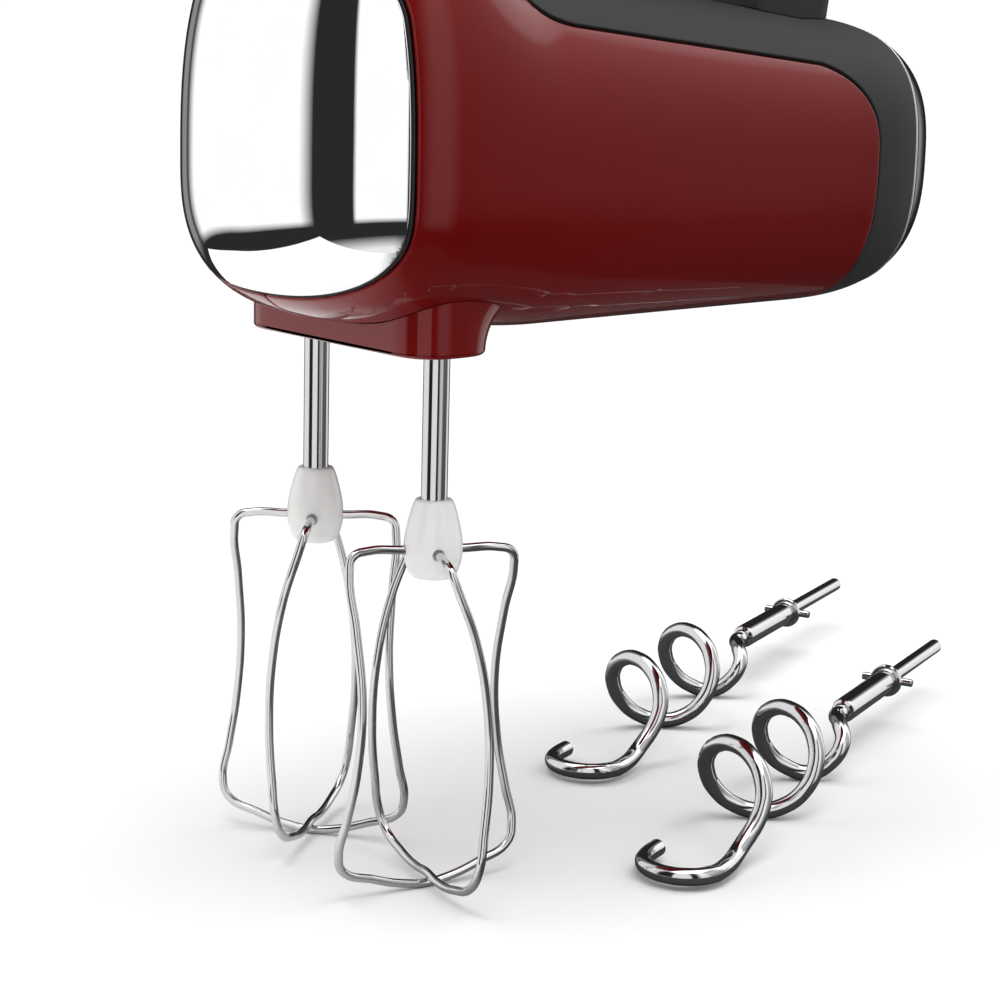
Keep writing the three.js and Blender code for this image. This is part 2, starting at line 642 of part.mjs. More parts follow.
/** The cord's inlet in the handle's rear pillar: a flanged sleeve, open at its mouth. */
function cordInlet() {
  const { z, radius, bore, from, to } = CORD_EXIT;
  const flange = bar('x', radius + 2, from - 2, from + CLEAR, [0, 0, z], 16);
  const sleeve = join(bar('x', radius, from, to, [0, 0, z], 16), flange);
  return cut(sleeve, bar('x', bore, from - 5, to + 5, [0, 0, z], 16));
}

// ---------------------------------------------------------------------------------------------
// Screws
// ---------------------------------------------------------------------------------------------

/** A housing screw, whose head faces right. */
function housingScrew([x, z]) {
  const seat = SCREW_SEAT_Y + CLEAR;
  const head = bar('y', SCREW_HEAD_RADIUS, seat, seat + SCREW_HEAD_HEIGHT, [x, 0, z], 16);
  const shank = bar('y', SCREW_RADIUS, -SCREW_SEAT_Y + 6, SCREW_SEAT_Y + 1, [x, 0, z], 12);
  return join(head, shank);
}

/** A handle screw, whose head is sunk in the grip's underside. */
function handleScrew(x) {
  const seat = handleScrewSeat(x) - CLEAR;
  const head = bar('z', SCREW_HEAD_RADIUS, seat - SCREW_HEAD_HEIGHT, seat, [x, 0, 0], 16);
  return join(head, bar('z', SCREW_RADIUS, seat - 1, COVER_SPLIT_Z + 2, [x, 0, 0], 12));
}

// ---------------------------------------------------------------------------------------------
// Motor and gears
// ---------------------------------------------------------------------------------------------

/** The motor's shaft, whose front end carries the worm: rings of a waving radius along X. */
function motorShaft() {
  const sides = 12;
  const perThread = 4;
  const steps = Math.round(((WORM_BACK_X - WORM_FRONT_X) / THREAD_PITCH) * perThread);
  const tip = WORM_PITCH_RADIUS + TOOTH_HEIGHT / 2 - MESH_GAP / 2;
  const points = [];
  for (let i = 0; i <= steps; i += 1) {
    const x = WORM_FRONT_X + (THREAD_PITCH * i) / perThread;
    for (let j = 0; j < sides; j += 1) {
      const angle = (2 * Math.PI * j) / sides;
      const phase = (2 * Math.PI * x) / THREAD_PITCH - WORM_STARTS * angle;
      const radius = tip - (TOOTH_HEIGHT / 2) * (1 - Math.cos(phase));
      points.push(x, radius * Math.cos(angle), AXIS_Z + radius * Math.sin(angle));
    }
  }
  const faces = [];
  for (let i = 0; i < steps; i += 1) {
    for (let j = 0; j < sides; j += 1) {
      const a = i * sides + j;
      const b = i * sides + ((j + 1) % sides);
      faces.push(a, b, a + sides, b, b + sides, a + sides);
    }
  }
  const end = steps * sides;
  for (let j = 1; j + 1 < sides; j += 1) faces.push(0, j + 1, j, end, end + j, end + j + 1);
  const geometry = new THREE.BufferGeometry();
  geometry.setAttribute('position', new THREE.Float32BufferAttribute(points, 3));
  geometry.setIndex(faces);
  const shaft = bar('x', SHAFT_RADIUS, WORM_BACK_X - 2, REAR_BEARING_X + 6, [0, 0, AXIS_Z], 16);
  return join(solid(geometry), shaft);
}

/** A worm wheel whose toothed edge slants with the worm's lead. */
function wormWheel(side) {
  const y = SIDE_Y[side];
  const perTooth = 4;
  const count = WHEEL_TEETH * perTooth;
  const lead = (WORM_STARTS * THREAD_PITCH) / (2 * Math.PI * WORM_PITCH_RADIUS); // slope of the thread
  const toWorm = y > 0 ? -Math.PI / 2 : Math.PI / 2; // direction from the wheel to the worm
  const points = [];
  for (const level of [-1, 0, 1]) {
    const z = (level * WHEEL_THICKNESS) / 2;
    const slant = (z * lead) / WHEEL_PITCH_RADIUS; // the thread's slant, as a turn of the wheel
    for (let i = 0; i < count; i += 1) {
      const angle = (2 * Math.PI * i) / count;
      // A tooth stands where the worm has a gap: half a pitch from the thread's crest.
      const phase = WHEEL_TEETH * angle + Math.PI;
      const radius = WHEEL_TIP_RADIUS - (TOOTH_HEIGHT / 2) * (1 - Math.cos(phase));
      const turn = toWorm + angle + slant;
      points.push(radius * Math.cos(turn), y + radius * Math.sin(turn), AXIS_Z + z);
    }
  }
  const faces = [];
  for (let level = 0; level < 2; level += 1) {
    for (let i = 0; i < count; i += 1) {
      const a = level * count + i;
      const b = level * count + ((i + 1) % count);
      faces.push(a, b, a + count, b, b + count, a + count);
    }
  }
  points.push(0, y, AXIS_Z - WHEEL_THICKNESS / 2, 0, y, AXIS_Z + WHEEL_THICKNESS / 2);
  const centre = 3 * count;
  for (let i = 0; i < count; i += 1) {
    const next = (i + 1) % count;
    faces.push(centre, next, i, centre + 1, 2 * count + i, 2 * count + next);
  }
  const geometry = new THREE.BufferGeometry();
  geometry.setAttribute('position', new THREE.Float32BufferAttribute(points, 3));
  geometry.setIndex(faces);
  return cut(solid(geometry), bar('z', SPINDLE_RADIUS + CLEAR, 0, 2 * REACH, [0, y, 0], 20));
}

const spindle = (y) => ring(SOCKET_RADIUS, SPINDLE_RADIUS, PLINTH_Z + 1.2, SPINDLE_TOP_Z, 0, y, 20);

const FRAME_LOW = [AXIS_Z - 26, AXIS_Z - 23];
const FRAME_HIGH = [AXIS_Z + 13, AXIS_Z + 16];
const FRAME_HALF_Y = NOSE_HALF_WIDTH - 13; // so the low plate rests against both shells

/** The gear frame: two plates that steady the spindles and a wall that holds the front bearing. */
function gearFrame() {
  const wallFrom = WHEEL_PITCH_RADIUS + TOOTH_HEIGHT / 2 + 4;
  const wallTo = FRONT_BEARING_X + BEARING_WIDTH / 2 + 0.5;
  const plates = [FRAME_LOW, FRAME_HIGH].map(([from, to]) =>
    box([-10, -FRAME_HALF_Y, from], [wallTo, FRAME_HALF_Y, to]));
  const wall = box([wallFrom, -FRAME_HALF_Y, FRAME_LOW[0]], [wallTo, FRAME_HALF_Y, FRAME_HIGH[1]]);
  const holes = SIDES.map((side) =>
    bar('z', SPINDLE_RADIUS + CLEAR, 0, 2 * REACH, [0, SIDE_Y[side], 0], 20));
  const seat = bar('x', BEARING_RADIUS + CLEAR, 0, 50, [0, 0, AXIS_Z], 20);
  const middle = box([-11, -9, FRAME_HIGH[0] - 1], [wallTo + 1, 9, FRAME_HIGH[1] + 1]); // clear of the worm
  return cut(join(wall, ...plates), ...holes, seat, middle).intersect(body(WALL + CLEAR));
}

const bearing = (x) =>
  cut(
    bar('x', BEARING_RADIUS, x - BEARING_WIDTH / 2, x + BEARING_WIDTH / 2, [0, 0, AXIS_Z], 20),
    bar('x', SHAFT_RADIUS + CLEAR, x - 10, x + 10, [0, 0, AXIS_Z], 16),
  );

/** The cooling fan: a disc with straight blades. */
function coolingFan() {
  let fan = bar('x', FAN_RADIUS, FAN_X, FAN_X + 1.4, [0, 0, AXIS_Z], 24);
  fan = join(fan, bar('x', 6, FAN_X, FAN_X + 5.5, [0, 0, AXIS_Z], 16));
  const blades = 8;
  for (let i = 0; i < blades; i += 1) {
    const blade = new THREE.BoxGeometry(5, FAN_RADIUS - 6, 1.2);
    blade.translate(FAN_X + 3, (FAN_RADIUS + 5) / 2, 0);
    blade.rotateX((2 * Math.PI * i) / blades).translate(0, 0, AXIS_Z);
    fan = join(fan, solid(blade));
  }
  return cut(fan, bar('x', SHAFT_RADIUS + CLEAR, FAN_X - 5, FAN_X + 10, [0, 0, AXIS_Z], 16));
}

/** The armature's stack with winding slots along its outside. */
function armature() {
  const from = STATOR_X - STATOR_LENGTH / 2;
  const to = STATOR_X + STATOR_LENGTH / 2;
  let core = bar('x', ARMATURE_RADIUS, from, to, [0, 0, AXIS_Z], 36);
  const slots = 12;
  for (let i = 0; i < slots; i += 1) {
    const slot = new THREE.BoxGeometry(2 * STATOR_LENGTH, 4, 1.6).translate(STATOR_X, ARMATURE_RADIUS, 0);
    core = cut(core, solid(slot.rotateX((2 * Math.PI * i) / slots).translate(0, 0, AXIS_Z)));
  }
  return cut(core, bar('x', SHAFT_RADIUS + CLEAR, from - 5, to + 5, [0, 0, AXIS_Z], 16));
}

const commutator = () =>
  cut(
    bar('x', COMMUTATOR_RADIUS, COMMUTATOR_X - 6, COMMUTATOR_X + 6, [0, 0, AXIS_Z], 24),
    bar('x', SHAFT_RADIUS + CLEAR, COMMUTATOR_X - 10, COMMUTATOR_X + 10, [0, 0, AXIS_Z], 16),
  );

const POLE_HALF_Z = 9;
const YOKE = 4.5;
const COIL = { inner: 16, outer: 21.5, reachZ: 15.5, overhang: 5 };

/** The stator's stack: a yoke with a pole on each side, bored for the armature. */
function stator() {
  const [low, high] = [STATOR_X - STATOR_LENGTH / 2, STATOR_X + STATOR_LENGTH / 2];
  const outer = box(
    [low, -STATOR_HALF_Y, AXIS_Z - STATOR_HALF_Z],
    [high, STATOR_HALF_Y, AXIS_Z + STATOR_HALF_Z],
  );
  const innerY = STATOR_HALF_Y - YOKE;
  const innerZ = STATOR_HALF_Z - YOKE;
  const window = box([low - 1, -innerY, AXIS_Z - innerZ], [high + 1, innerY, AXIS_Z + innerZ]);
  const poles = box([low, -innerY - 1, AXIS_Z - POLE_HALF_Z], [high, innerY + 1, AXIS_Z + POLE_HALF_Z]);
  return cut(join(cut(outer, window), poles), bar('x', STATOR_BORE, low - 1, high + 1, [0, 0, AXIS_Z], 36));
}

/** A field coil: a flat ring around one pole. */
function fieldCoil(side) {
  const [near, far] = [COIL.inner, COIL.outer];
  const span = side === 'left' ? [-far, -near] : [near, far];
  const [low, high] = [STATOR_X - STATOR_LENGTH / 2, STATOR_X + STATOR_LENGTH / 2];
  const outer = box(
    [low - COIL.overhang, span[0], AXIS_Z - COIL.reachZ],
    [high + COIL.overhang, span[1], AXIS_Z + COIL.reachZ],
  );
  const inner = box(
    [low - CLEAR, span[0] - 1, AXIS_Z - POLE_HALF_Z - CLEAR],
    [high + CLEAR, span[1] + 1, AXIS_Z + POLE_HALF_Z + CLEAR],
  );
  return cut(outer, inner);
}

const BRUSH_HALF = 2.3;
/** Boxes across Y beside the commutator, on one side. */
function acrossBrush(side, half, near, far) {
  const span = side === 'left' ? [-far, -near] : [near, far];
  return box([COMMUTATOR_X - half, span[0], AXIS_Z - half], [COMMUTATOR_X + half, span[1], AXIS_Z + half]);
}
const brush = (side) => acrossBrush(side, BRUSH_HALF, COMMUTATOR_RADIUS + CLEAR, COMMUTATOR_RADIUS + 11);
const brushHolder = (side) =>
  cut(
    acrossBrush(side, BRUSH_HALF + CLEAR + 1.4, COMMUTATOR_RADIUS + 2, COMMUTATOR_RADIUS + 15),
    acrossBrush(side, BRUSH_HALF + CLEAR, COMMUTATOR_RADIUS, COMMUTATOR_RADIUS + 16),
  );

/** The bracket that holds the rear bearing. */
const rearBracket = () =>
  cut(
    box([REAR_BEARING_X - 3, -24, AXIS_Z - 11], [REAR_BEARING_X + 3, 24, AXIS_Z + 11]),
    bar('x', BEARING_RADIUS + CLEAR, 0, 2 * REACH, [0, 0, AXIS_Z], 20),
  );

const controlBoard = () => box([80, -16, AXIS_Z + 27], [104, 16, AXIS_Z + 28.6]);
const capacitor = () => box([101, -7, handleFloor(101)], [115, 7, handleFloor(101) + 9]);

// ---------------------------------------------------------------------------------------------
// Beaters
// ---------------------------------------------------------------------------------------------

const interpolate = (table, at) => {
  const next = table.findIndex(([key]) => key >= at);
  if (next <= 0) return table[next < 0 ? table.length - 1 : 0][1];
  const [[fromKey, from], [toKey, to]] = [table[next - 1], table[next]];
  return mix(from, to, (at - fromKey) / (toKey - fromKey));
};

/** One wire loop of a beater. The two beaters sweep opposite ways. */
function beaterLoop(side, index) {
  const hand = (side === 'right' ? -1 : 1) * LOOP_SWEEP_SHARE[side];
  const start = LOOP_ANGLES[side][index];
  const lift = index === 1 ? LOOP_CROSSING : 0;
  const half = LOOP_PROFILE.map(([radius, height]) => {
    const raised = height + lift * Math.max(0, 1 - radius / 12);
    const angle = ((start + hand * interpolate(LOOP_SWEEP, height)) * Math.PI) / 180;
    return new THREE.Vector3(radius * Math.cos(angle), radius * Math.sin(angle), raised);
  });
  const others = half.slice(0, -1).reverse().map((point) => new THREE.Vector3(-point.x, -point.y, point.z));
  const points = [...half, ...others].map((point) => point.add(new THREE.Vector3(0, SIDE_Y[side], 0)));
  return wire(new THREE.CatmullRomCurve3(points), WIRE_RADIUS, LOOP_STEPS);
}

const HUB_BORE = BEATER_SHAFT_RADIUS + CLEAR;
const beaterHub = (y) =>
  turned([
    [HUB_BORE, BAR_Z - 6], [4.4, BAR_Z - 5.6], [5.5, BAR_Z - 4], [6.2, BAR_Z - 1], [6.25, BAR_Z + 1],
    [5.8, BAR_Z + 4.5], [4.6, BAR_Z + 8.6], [4.0, BAR_Z + 9.6], [4.0, HUB_TOP_Z], [HUB_BORE, HUB_TOP_Z],
    [HUB_BORE, BAR_Z - 6],
  ], 0, y, 20);
const beaterShaft = (y) => bar('z', BEATER_SHAFT_RADIUS, BAR_Z - 5, BEATER_TOP_Z, [0, y, 0], 16);

// ---------------------------------------------------------------------------------------------
// Dough hooks, made along +X from the bent foot to the shaft's end, then laid on the bench
// ---------------------------------------------------------------------------------------------

const HOOK_AXIS_Z = HOOK_COIL_RADIUS + HOOK_BAR_RADIUS; // the coil rests on the bench

/** The hook's one bent bar: shaft, crank, coil and open foot. */
function hookBar(hand) {
  const points = [];
  const add = (x, y, z) => points.push(new THREE.Vector3(x, hand * y, z));
  for (const x of [HOOK_LENGTH, 150, HOOK_SLEEVE[0], HOOK_SLEEVE[0] - 4]) add(x, 0, 0);
  add(HOOK_COIL[0] + 3, -3, 0);
  const [coilFrom, coilTo] = HOOK_COIL;
  const steps = HOOK_TURNS * 12;
  for (let i = 1; i <= steps; i += 1) {
    const angle = Math.PI + (2 * Math.PI * HOOK_TURNS * i) / steps;
    const grown = Math.min(1, 0.5 + i / 6);
    const radius = HOOK_COIL_RADIUS * grown;
    add(mix(coilFrom, coilTo, i / steps), radius * Math.cos(angle), radius * Math.sin(angle));
  }
  // the foot turns back towards the shaft in a flat bend
  const low = -HOOK_COIL_RADIUS + 1;
  add(22, -HOOK_BEND_RADIUS, low + 2);
  for (let i = 0; i <= 6; i += 1) {
    const angle = -Math.PI / 2 - (Math.PI * i) / 6;
    const out = HOOK_BAR_RADIUS + HOOK_BEND_RADIUS * (1 + Math.cos(angle));
    add(out, HOOK_BEND_RADIUS * Math.sin(angle), low);
  }
  add(HOOK_BEND_RADIUS + 8, HOOK_BEND_RADIUS, low);
  return wire(new THREE.CatmullRomCurve3(points), HOOK_BAR_RADIUS, 64, 6);
}

const hookSleeve = () =>
  cut(
    bar('x', HOOK_SLEEVE_RADIUS, ...HOOK_SLEEVE, [0, 0, 0], 16),
    bar('x', HOOK_BAR_RADIUS + CLEAR, HOOK_SLEEVE[0] - 5, HOOK_SLEEVE[1] + 5, [0, 0, 0], 16),
  );

/** The collar above the sleeve: a washer with two drive ears. */
function hookCollar() {
  const from = HOOK_SLEEVE[1] + CLEAR;
  const washer = bar('x', HOOK_SLEEVE_RADIUS + 1, from, from + 3, [0, 0, 0], 16);
  const ears = box([from, -7, -1.1], [from + 2.4, 7, 1.1]);
  return cut(join(washer, ears), bar('x', HOOK_BAR_RADIUS + CLEAR, from - 5, from + 10, [0, 0, 0], 16));
}

// ---------------------------------------------------------------------------------------------
// Finishes and the finished group
// ---------------------------------------------------------------------------------------------

const finish = (color, roughness, metalness) =>
  new THREE.MeshStandardMaterial({ color, roughness, metalness });
const FINISHES = {
  redShell: () => finish(0x6e1417, 0.28, 0.35),
  chrome: () => finish(0xe8e8ea, 0.05, 1),
  satinBlack: () => finish(0x232323, 0.5, 0),
  glossBlack: () => finish(0x0d0d0e, 0.12, 0),
  rubber: () => finish(0x111111, 0.8, 0),
  silverTrim: () => finish(0xb5b6b8, 0.3, 1),
  steel: () => finish(0xbfc1c4, 0.2, 1),
  whitePlastic: () => finish(0xf4f4f2, 0.25, 0),
  nylon: () => finish(0xd8d4c8, 0.5, 0),
  iron: () => finish(0x6f7378, 0.45, 1),
  copper: () => finish(0xb4683a, 0.35, 1),
  carbon: () => finish(0x2b2b2d, 0.7, 0),
  board: () => finish(0x2f6b3c, 0.55, 0),
};

const group = new THREE.Group();
const origin = new THREE.Group();
origin.position.set(-GRIP_X, 0, -GRIP_Z);
group.add(origin);

/** Adds one named piece to a group. */
function add(name, made, look, parent = origin) {
  const mesh = new THREE.Mesh(geometryOf(made), FINISHES[look]());
  mesh.name = name;
  parent.add(mesh);
}

for (const side of SIDES) add(`${side}_housing`, housing(side), 'redShell');
add('upper_housing', upperHousing(), 'satinBlack');
add('seam_trim', seamTrim(), 'silverTrim');
add('rear_cap', rearCap(), 'glossBlack');
add('nose_cover', noseCover(), 'chrome');
add('nose_gasket', noseGasket(), 'rubber');
add('socket_plinth', plinth(), 'redShell');
add('handle_lower', handleLower(), 'satinBlack');
add('handle_cover', handleCover(), 'satinBlack');
add('cord_inlet', cordInlet(), 'rubber');
for (const [place, at] of Object.entries(HOUSING_SCREWS)) {
  add(`housing_screw_${place}`, housingScrew(at), 'iron');
}
for (const [place, x] of Object.entries(HANDLE_SCREWS)) {
  add(`handle_screw_${place}`, handleScrew(x), 'iron');
}

add('eject_button', ejectButton(), 'silverTrim');
add('ejector', ejector(), 'nylon');
add('eject_spring', ejectSpring(), 'steel');
add('turbo_button', turboButton(), 'redShell');
add('turbo_spring', turboSpring(), 'steel');
add('speed_slider', speedSlider(), 'silverTrim');
add('speed_switch', speedSwitch(), 'nylon');
add('control_board', controlBoard(), 'board');
add('suppression_capacitor', capacitor(), 'nylon');

add('gear_frame', gearFrame(), 'nylon');
add('front_bearing', bearing(FRONT_BEARING_X), 'iron');
add('rear_bearing', bearing(REAR_BEARING_X), 'iron');
add('rear_bearing_bracket', rearBracket(), 'nylon');
add('stator_core', stator(), 'iron');
add('motor_shaft', motorShaft(), 'steel');
add('armature_core', armature(), 'iron');
add('commutator', commutator(), 'copper');
add('cooling_fan', coolingFan(), 'nylon');

for (const side of SIDES) {
  const y = SIDE_Y[side];
  add(`${side}_field_coil`, fieldCoil(side), 'copper');
  add(`${side}_brush`, brush(side), 'carbon');
  add(`${side}_brush_holder`, brushHolder(side), 'nylon');
  add(`${side}_spindle_bush`, spindleBush(y), 'steel');
  add(`${side}_worm_wheel`, wormWheel(side), 'nylon');
  add(`${side}_spindle`, spindle(y), 'steel');
  add(`${side}_beater_shaft`, beaterShaft(y), 'steel');
  add(`${side}_beater_hub`, beaterHub(y), 'whitePlastic');
  add(`${side}_beater_wire_a`, beaterLoop(side, 0), 'steel');
  add(`${side}_beater_wire_b`, beaterLoop(side, 1), 'steel');
}

for (const { side, foot, heading, hand } of HOOKS) {
  const hook = new THREE.Group();
  hook.position.set(foot[0], foot[1], HOOK_AXIS_Z);
  hook.rotation.z = (heading * Math.PI) / 180;
  origin.add(hook);
  add(`${side}_hook_bar`, hookBar(hand), 'steel', hook);
  add(`${side}_hook_sleeve`, hookSleeve(), 'steel', hook);
  add(`${side}_hook_collar`, hookCollar(), 'steel', hook);
}

export default group;
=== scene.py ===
"""Looks of a hand mixer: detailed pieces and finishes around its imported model.

Lengths are in millimetres until ``place`` turns them into the frame's metres. X runs back from the
middle of the spindles, Y runs towards the mixer's right side and Z runs up from the bench.
"""

import logging
import math
from dataclasses import dataclass
from enum import Enum
from typing import Callable, Sequence

import bmesh
import bpy
from mathutils import Matrix, Vector


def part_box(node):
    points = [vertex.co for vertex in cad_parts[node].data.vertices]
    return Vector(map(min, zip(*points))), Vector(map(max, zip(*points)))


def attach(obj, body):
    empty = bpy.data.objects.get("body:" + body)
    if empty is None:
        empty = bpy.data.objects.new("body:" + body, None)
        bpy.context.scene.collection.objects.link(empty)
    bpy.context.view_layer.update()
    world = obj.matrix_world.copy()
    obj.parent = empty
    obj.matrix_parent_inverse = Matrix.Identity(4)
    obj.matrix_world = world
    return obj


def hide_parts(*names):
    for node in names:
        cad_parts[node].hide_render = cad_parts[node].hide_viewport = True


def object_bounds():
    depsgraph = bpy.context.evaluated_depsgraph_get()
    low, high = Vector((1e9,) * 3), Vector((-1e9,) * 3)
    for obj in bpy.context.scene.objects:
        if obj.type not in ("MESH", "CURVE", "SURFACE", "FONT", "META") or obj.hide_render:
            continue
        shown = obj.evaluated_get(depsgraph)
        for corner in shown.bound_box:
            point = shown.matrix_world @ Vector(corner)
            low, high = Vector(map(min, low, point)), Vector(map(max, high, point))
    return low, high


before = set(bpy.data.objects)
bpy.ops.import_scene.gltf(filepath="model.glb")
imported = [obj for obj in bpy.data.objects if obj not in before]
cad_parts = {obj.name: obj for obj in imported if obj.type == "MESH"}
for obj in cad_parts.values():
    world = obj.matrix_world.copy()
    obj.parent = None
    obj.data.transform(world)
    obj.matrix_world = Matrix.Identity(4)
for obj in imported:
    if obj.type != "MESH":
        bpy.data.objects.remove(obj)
CAD_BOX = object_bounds()
LOG = logging.getLogger("hand_mixer")
MM = 0.001
SIDES = {"left": -1.0, "right": 1.0}
Point = tuple[float, float]
Lie = Callable[[float, float, float], Vector]


def middle(node: str) -> Vector:
    """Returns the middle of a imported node's box.

    Args:
        node: The node's name.

    Returns:
        The middle, in the frame's metres.
    """
    low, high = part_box(node)
    return (low + high) / 2


ORIGIN = Vector((middle("left_spindle").x, 0.0, CAD_BOX[0][2]))
SPINDLE_Y = middle("right_spindle").y / MM


def place(x: float, y: float, z: float) -> Vector:
    """Returns a point of the frame in metres.

    Args:
        x: Distance behind the spindles, in millimetres.
        y: Distance towards the right side.
        z: Height above the bench.

    Returns:
        The point in the frame.
    """
    return ORIGIN + Vector((x, y, z)) * MM


def mix(start: float, end: float, share: float) -> float:
    """Returns the value a share of the way from start to end."""
    return start + (end - start) * share


# ---------------------------------------------------------------------------------------------
# Modelling by hand: selections, edits, cuts and walls
# ---------------------------------------------------------------------------------------------


def pick(piece: bpy.types.Object) -> bpy.types.Object:
    """Makes one piece the only selected and active object.

    Args:
        piece: The piece to pick.

    Returns:
        The same piece.
    """
    bpy.ops.object.select_all(action="DESELECT")
    piece.select_set(True)
    bpy.context.view_layer.objects.active = piece
    return piece


class Editing:
    """Edit mode on one piece, as a context that gives its mesh."""

    def __init__(self, piece: bpy.types.Object) -> None:
        """Remembers the piece.

        Args:
            piece: The piece to edit.
        """
        self.piece = piece

    def __enter__(self) -> bmesh.types.BMesh:
        """Enters edit mode with nothing selected."""
        pick(self.piece)
        bpy.ops.object.mode_set(mode="EDIT")
        bpy.ops.mesh.select_mode(type="FACE")
        bpy.ops.mesh.select_all(action="DESELECT")
        return bmesh.from_edit_mesh(self.piece.data)

    def __exit__(self, *_: object) -> None:
        """Leaves edit mode."""
        bpy.ops.object.mode_set(mode="OBJECT")


def choose(piece: bpy.types.Object, kind: str, test: Callable[[object], bool]) -> None:
    """Selects the edges or faces of the edited piece that pass a test.

    Args:
        piece: The piece in edit mode.
        kind: "EDGE" or "FACE".
        test: Says whether an edge or face is wanted.
    """
    bpy.ops.mesh.select_mode(type=kind)
    bpy.ops.mesh.select_all(action="DESELECT")
    mesh = bmesh.from_edit_mesh(piece.data)
    mesh.normal_update()
    for item in mesh.edges if kind == "EDGE" else mesh.faces:
        item.select_set(test(item))
    bmesh.update_edit_mesh(piece.data)


def face_outwards(weld: float = 0.0) -> None:
    """Turns all faces of the edited piece outwards.

    Args:
        weld: Corners nearer than this are joined first.
    """
    bpy.ops.mesh.select_all(action="SELECT")
    if weld:
        bpy.ops.mesh.remove_doubles(threshold=weld * MM)
    bpy.ops.mesh.normals_make_consistent(inside=False)


def modify(piece: bpy.types.Object, kind: str, **settings: object) -> None:
    """Adds a modifier to a piece and applies it.

    Args:
        piece: The piece.
        kind: The modifier's type.
        **settings: The modifier's values.
    """
    pick(piece)
    bpy.ops.object.modifier_add(type=kind)
    modifier = piece.modifiers[-1]
    for name, value in settings.items():
        setattr(modifier, name, value)
    bpy.ops.object.modifier_apply(modifier=modifier.name)


def marker(name: str) -> bpy.types.Material:
    """Returns the plain material that marks kept or cut faces while a piece is cut.

    Args:
        name: The marker's name.

    Returns:
        The material.
    """
    return bpy.data.materials.get(name) or bpy.data.materials.new(name)


def mark(piece: bpy.types.Object, name: str) -> bpy.types.Object:
    """Gives all faces of a piece one marker.

    Args:
        piece: The piece.
        name: The marker's name.

    Returns:
        The same piece.
    """
    piece.data.materials.clear()
    piece.data.materials.append(marker(name))
    return piece


def carve(piece: bpy.types.Object, tool: bpy.types.Object, how: str = "DIFFERENCE") -> None:
    """Cuts a piece with a tool, whose marker stays on the faces that it leaves, and removes the tool.

    Args:
        piece: The piece to cut.
        tool: The cutting solid.
        how: "DIFFERENCE", "INTERSECT" or "UNION".
    """
    modify(piece, "BOOLEAN", object=tool, operation=how, solver="EXACT", material_mode="TRANSFER")
    bpy.data.objects.remove(tool)


def copy_of(piece: bpy.types.Object) -> bpy.types.Object:
    """Returns a copy of a piece with a mesh of its own."""
    double = piece.copy()
    double.data = piece.data.copy()
    bpy.context.scene.collection.objects.link(double)
    return double


def open_cuts(piece: bpy.types.Object) -> None:
    """Deletes the faces that cutting tools left, so that only the outer sheet stays.

    Args:
        piece: The cut piece.
    """
    names = [slot.material.name for slot in piece.material_slots]
    cut = names.index("cut") if "cut" in names else -1
    with Editing(piece):
        face_outwards()
        choose(piece, "FACE", lambda face: face.material_index == cut)
        bpy.ops.mesh.delete(type="FACE")
        bpy.ops.mesh.select_mode(type="VERT")
        bpy.ops.mesh.select_all(action="SELECT")
        bpy.ops.mesh.remove_doubles(threshold=0.02 * MM)


def thicken(piece: bpy.types.Object, wall: float, roll: float, steps: int = 4) -> bpy.types.Object:
    """Turns an open sheet into a closed wall whose outer rim is rolled over.

    Args:
        piece: The sheet, whose rim stands back from the finished edge by the roll.
        wall: Thickness of the wall, inwards.
        roll: Radius of the rolled rim.
        steps: Steps round the roll.

    Returns:
        The closed piece.
    """
    with Editing(piece) as mesh:
        mesh.normal_update()
        sheet = list(mesh.faces)
        normals = {vertex: vertex.normal.copy() for vertex in mesh.verts}
        away: dict[bmesh.types.BMVert, Vector] = {}
        rims = []
        for edge in [edge for edge in mesh.edges if edge.is_boundary]:
            loop = edge.link_loops[0]
            start, end = loop.vert, loop.link_loop_next.vert
            out = (end.co - start.co).cross(loop.face.normal).normalized()
            rims.append((start, end))
            for vertex in (start, end):
                away[vertex] = away.get(vertex, Vector()) + out
        for vertex in away:
            away[vertex].normalize()
        twin = bmesh.ops.duplicate(mesh, geom=sheet)["vert_map"]
        inner = {vertex: twin[vertex] for vertex in normals if vertex in twin}
        for vertex, normal in normals.items():
            if vertex in inner:
                side = away[vertex] * roll if vertex in away else Vector()
                inner[vertex].co = vertex.co + (side - normal * wall) * MM
        inside = set(inner.values())
        bmesh.ops.reverse_faces(mesh, faces=[face for face in mesh.faces if face.verts[0] in inside])
        ring = {vertex: vertex for vertex in away}
        for step in range(1, steps + 2):
            if step <= steps:
                turn = math.pi / 2 * step / steps
                shift = {v: away[v] * math.sin(turn) - normals[v] * (1 - math.cos(turn)) for v in away}
                after = {v: mesh.verts.new(v.co + shift[v] * roll * MM) for v in away}
            else:
                after = {v: inner[v] for v in away}
            for start, end in rims:
                mesh.faces.new((ring[end], ring[start], after[start], after[end]))
            ring = after
        bmesh.update_edit_mesh(piece.data)
    return piece


def rounded(corners: Sequence[tuple[float, float, float]], steps: int) -> list[Point]:
    """Returns a closed outline whose corners are rounded by curves.

    Args:
        corners: Each corner's two coordinates and how far along its sides the curve reaches.
        steps: Steps round each corner.

    Returns:
        The outline's points.
    """
    points: list[Point] = []
    for index, (x, z, reach) in enumerate(corners):
        corner = Vector((x, z))
        before = Vector(corners[index - 1][:2]) - corner
        after = Vector(corners[(index + 1) % len(corners)][:2]) - corner
        if reach <= 0:
            points.append((x, z))
            continue
        enter = corner + before * min(0.5, reach / before.length)
        leave = corner + after * min(0.5, reach / after.length)
        for step in range(steps + 1):
            share = step / steps
            at = enter.lerp(corner, share).lerp(corner.lerp(leave, share), share)
            points.append((at.x, at.y))
    return points


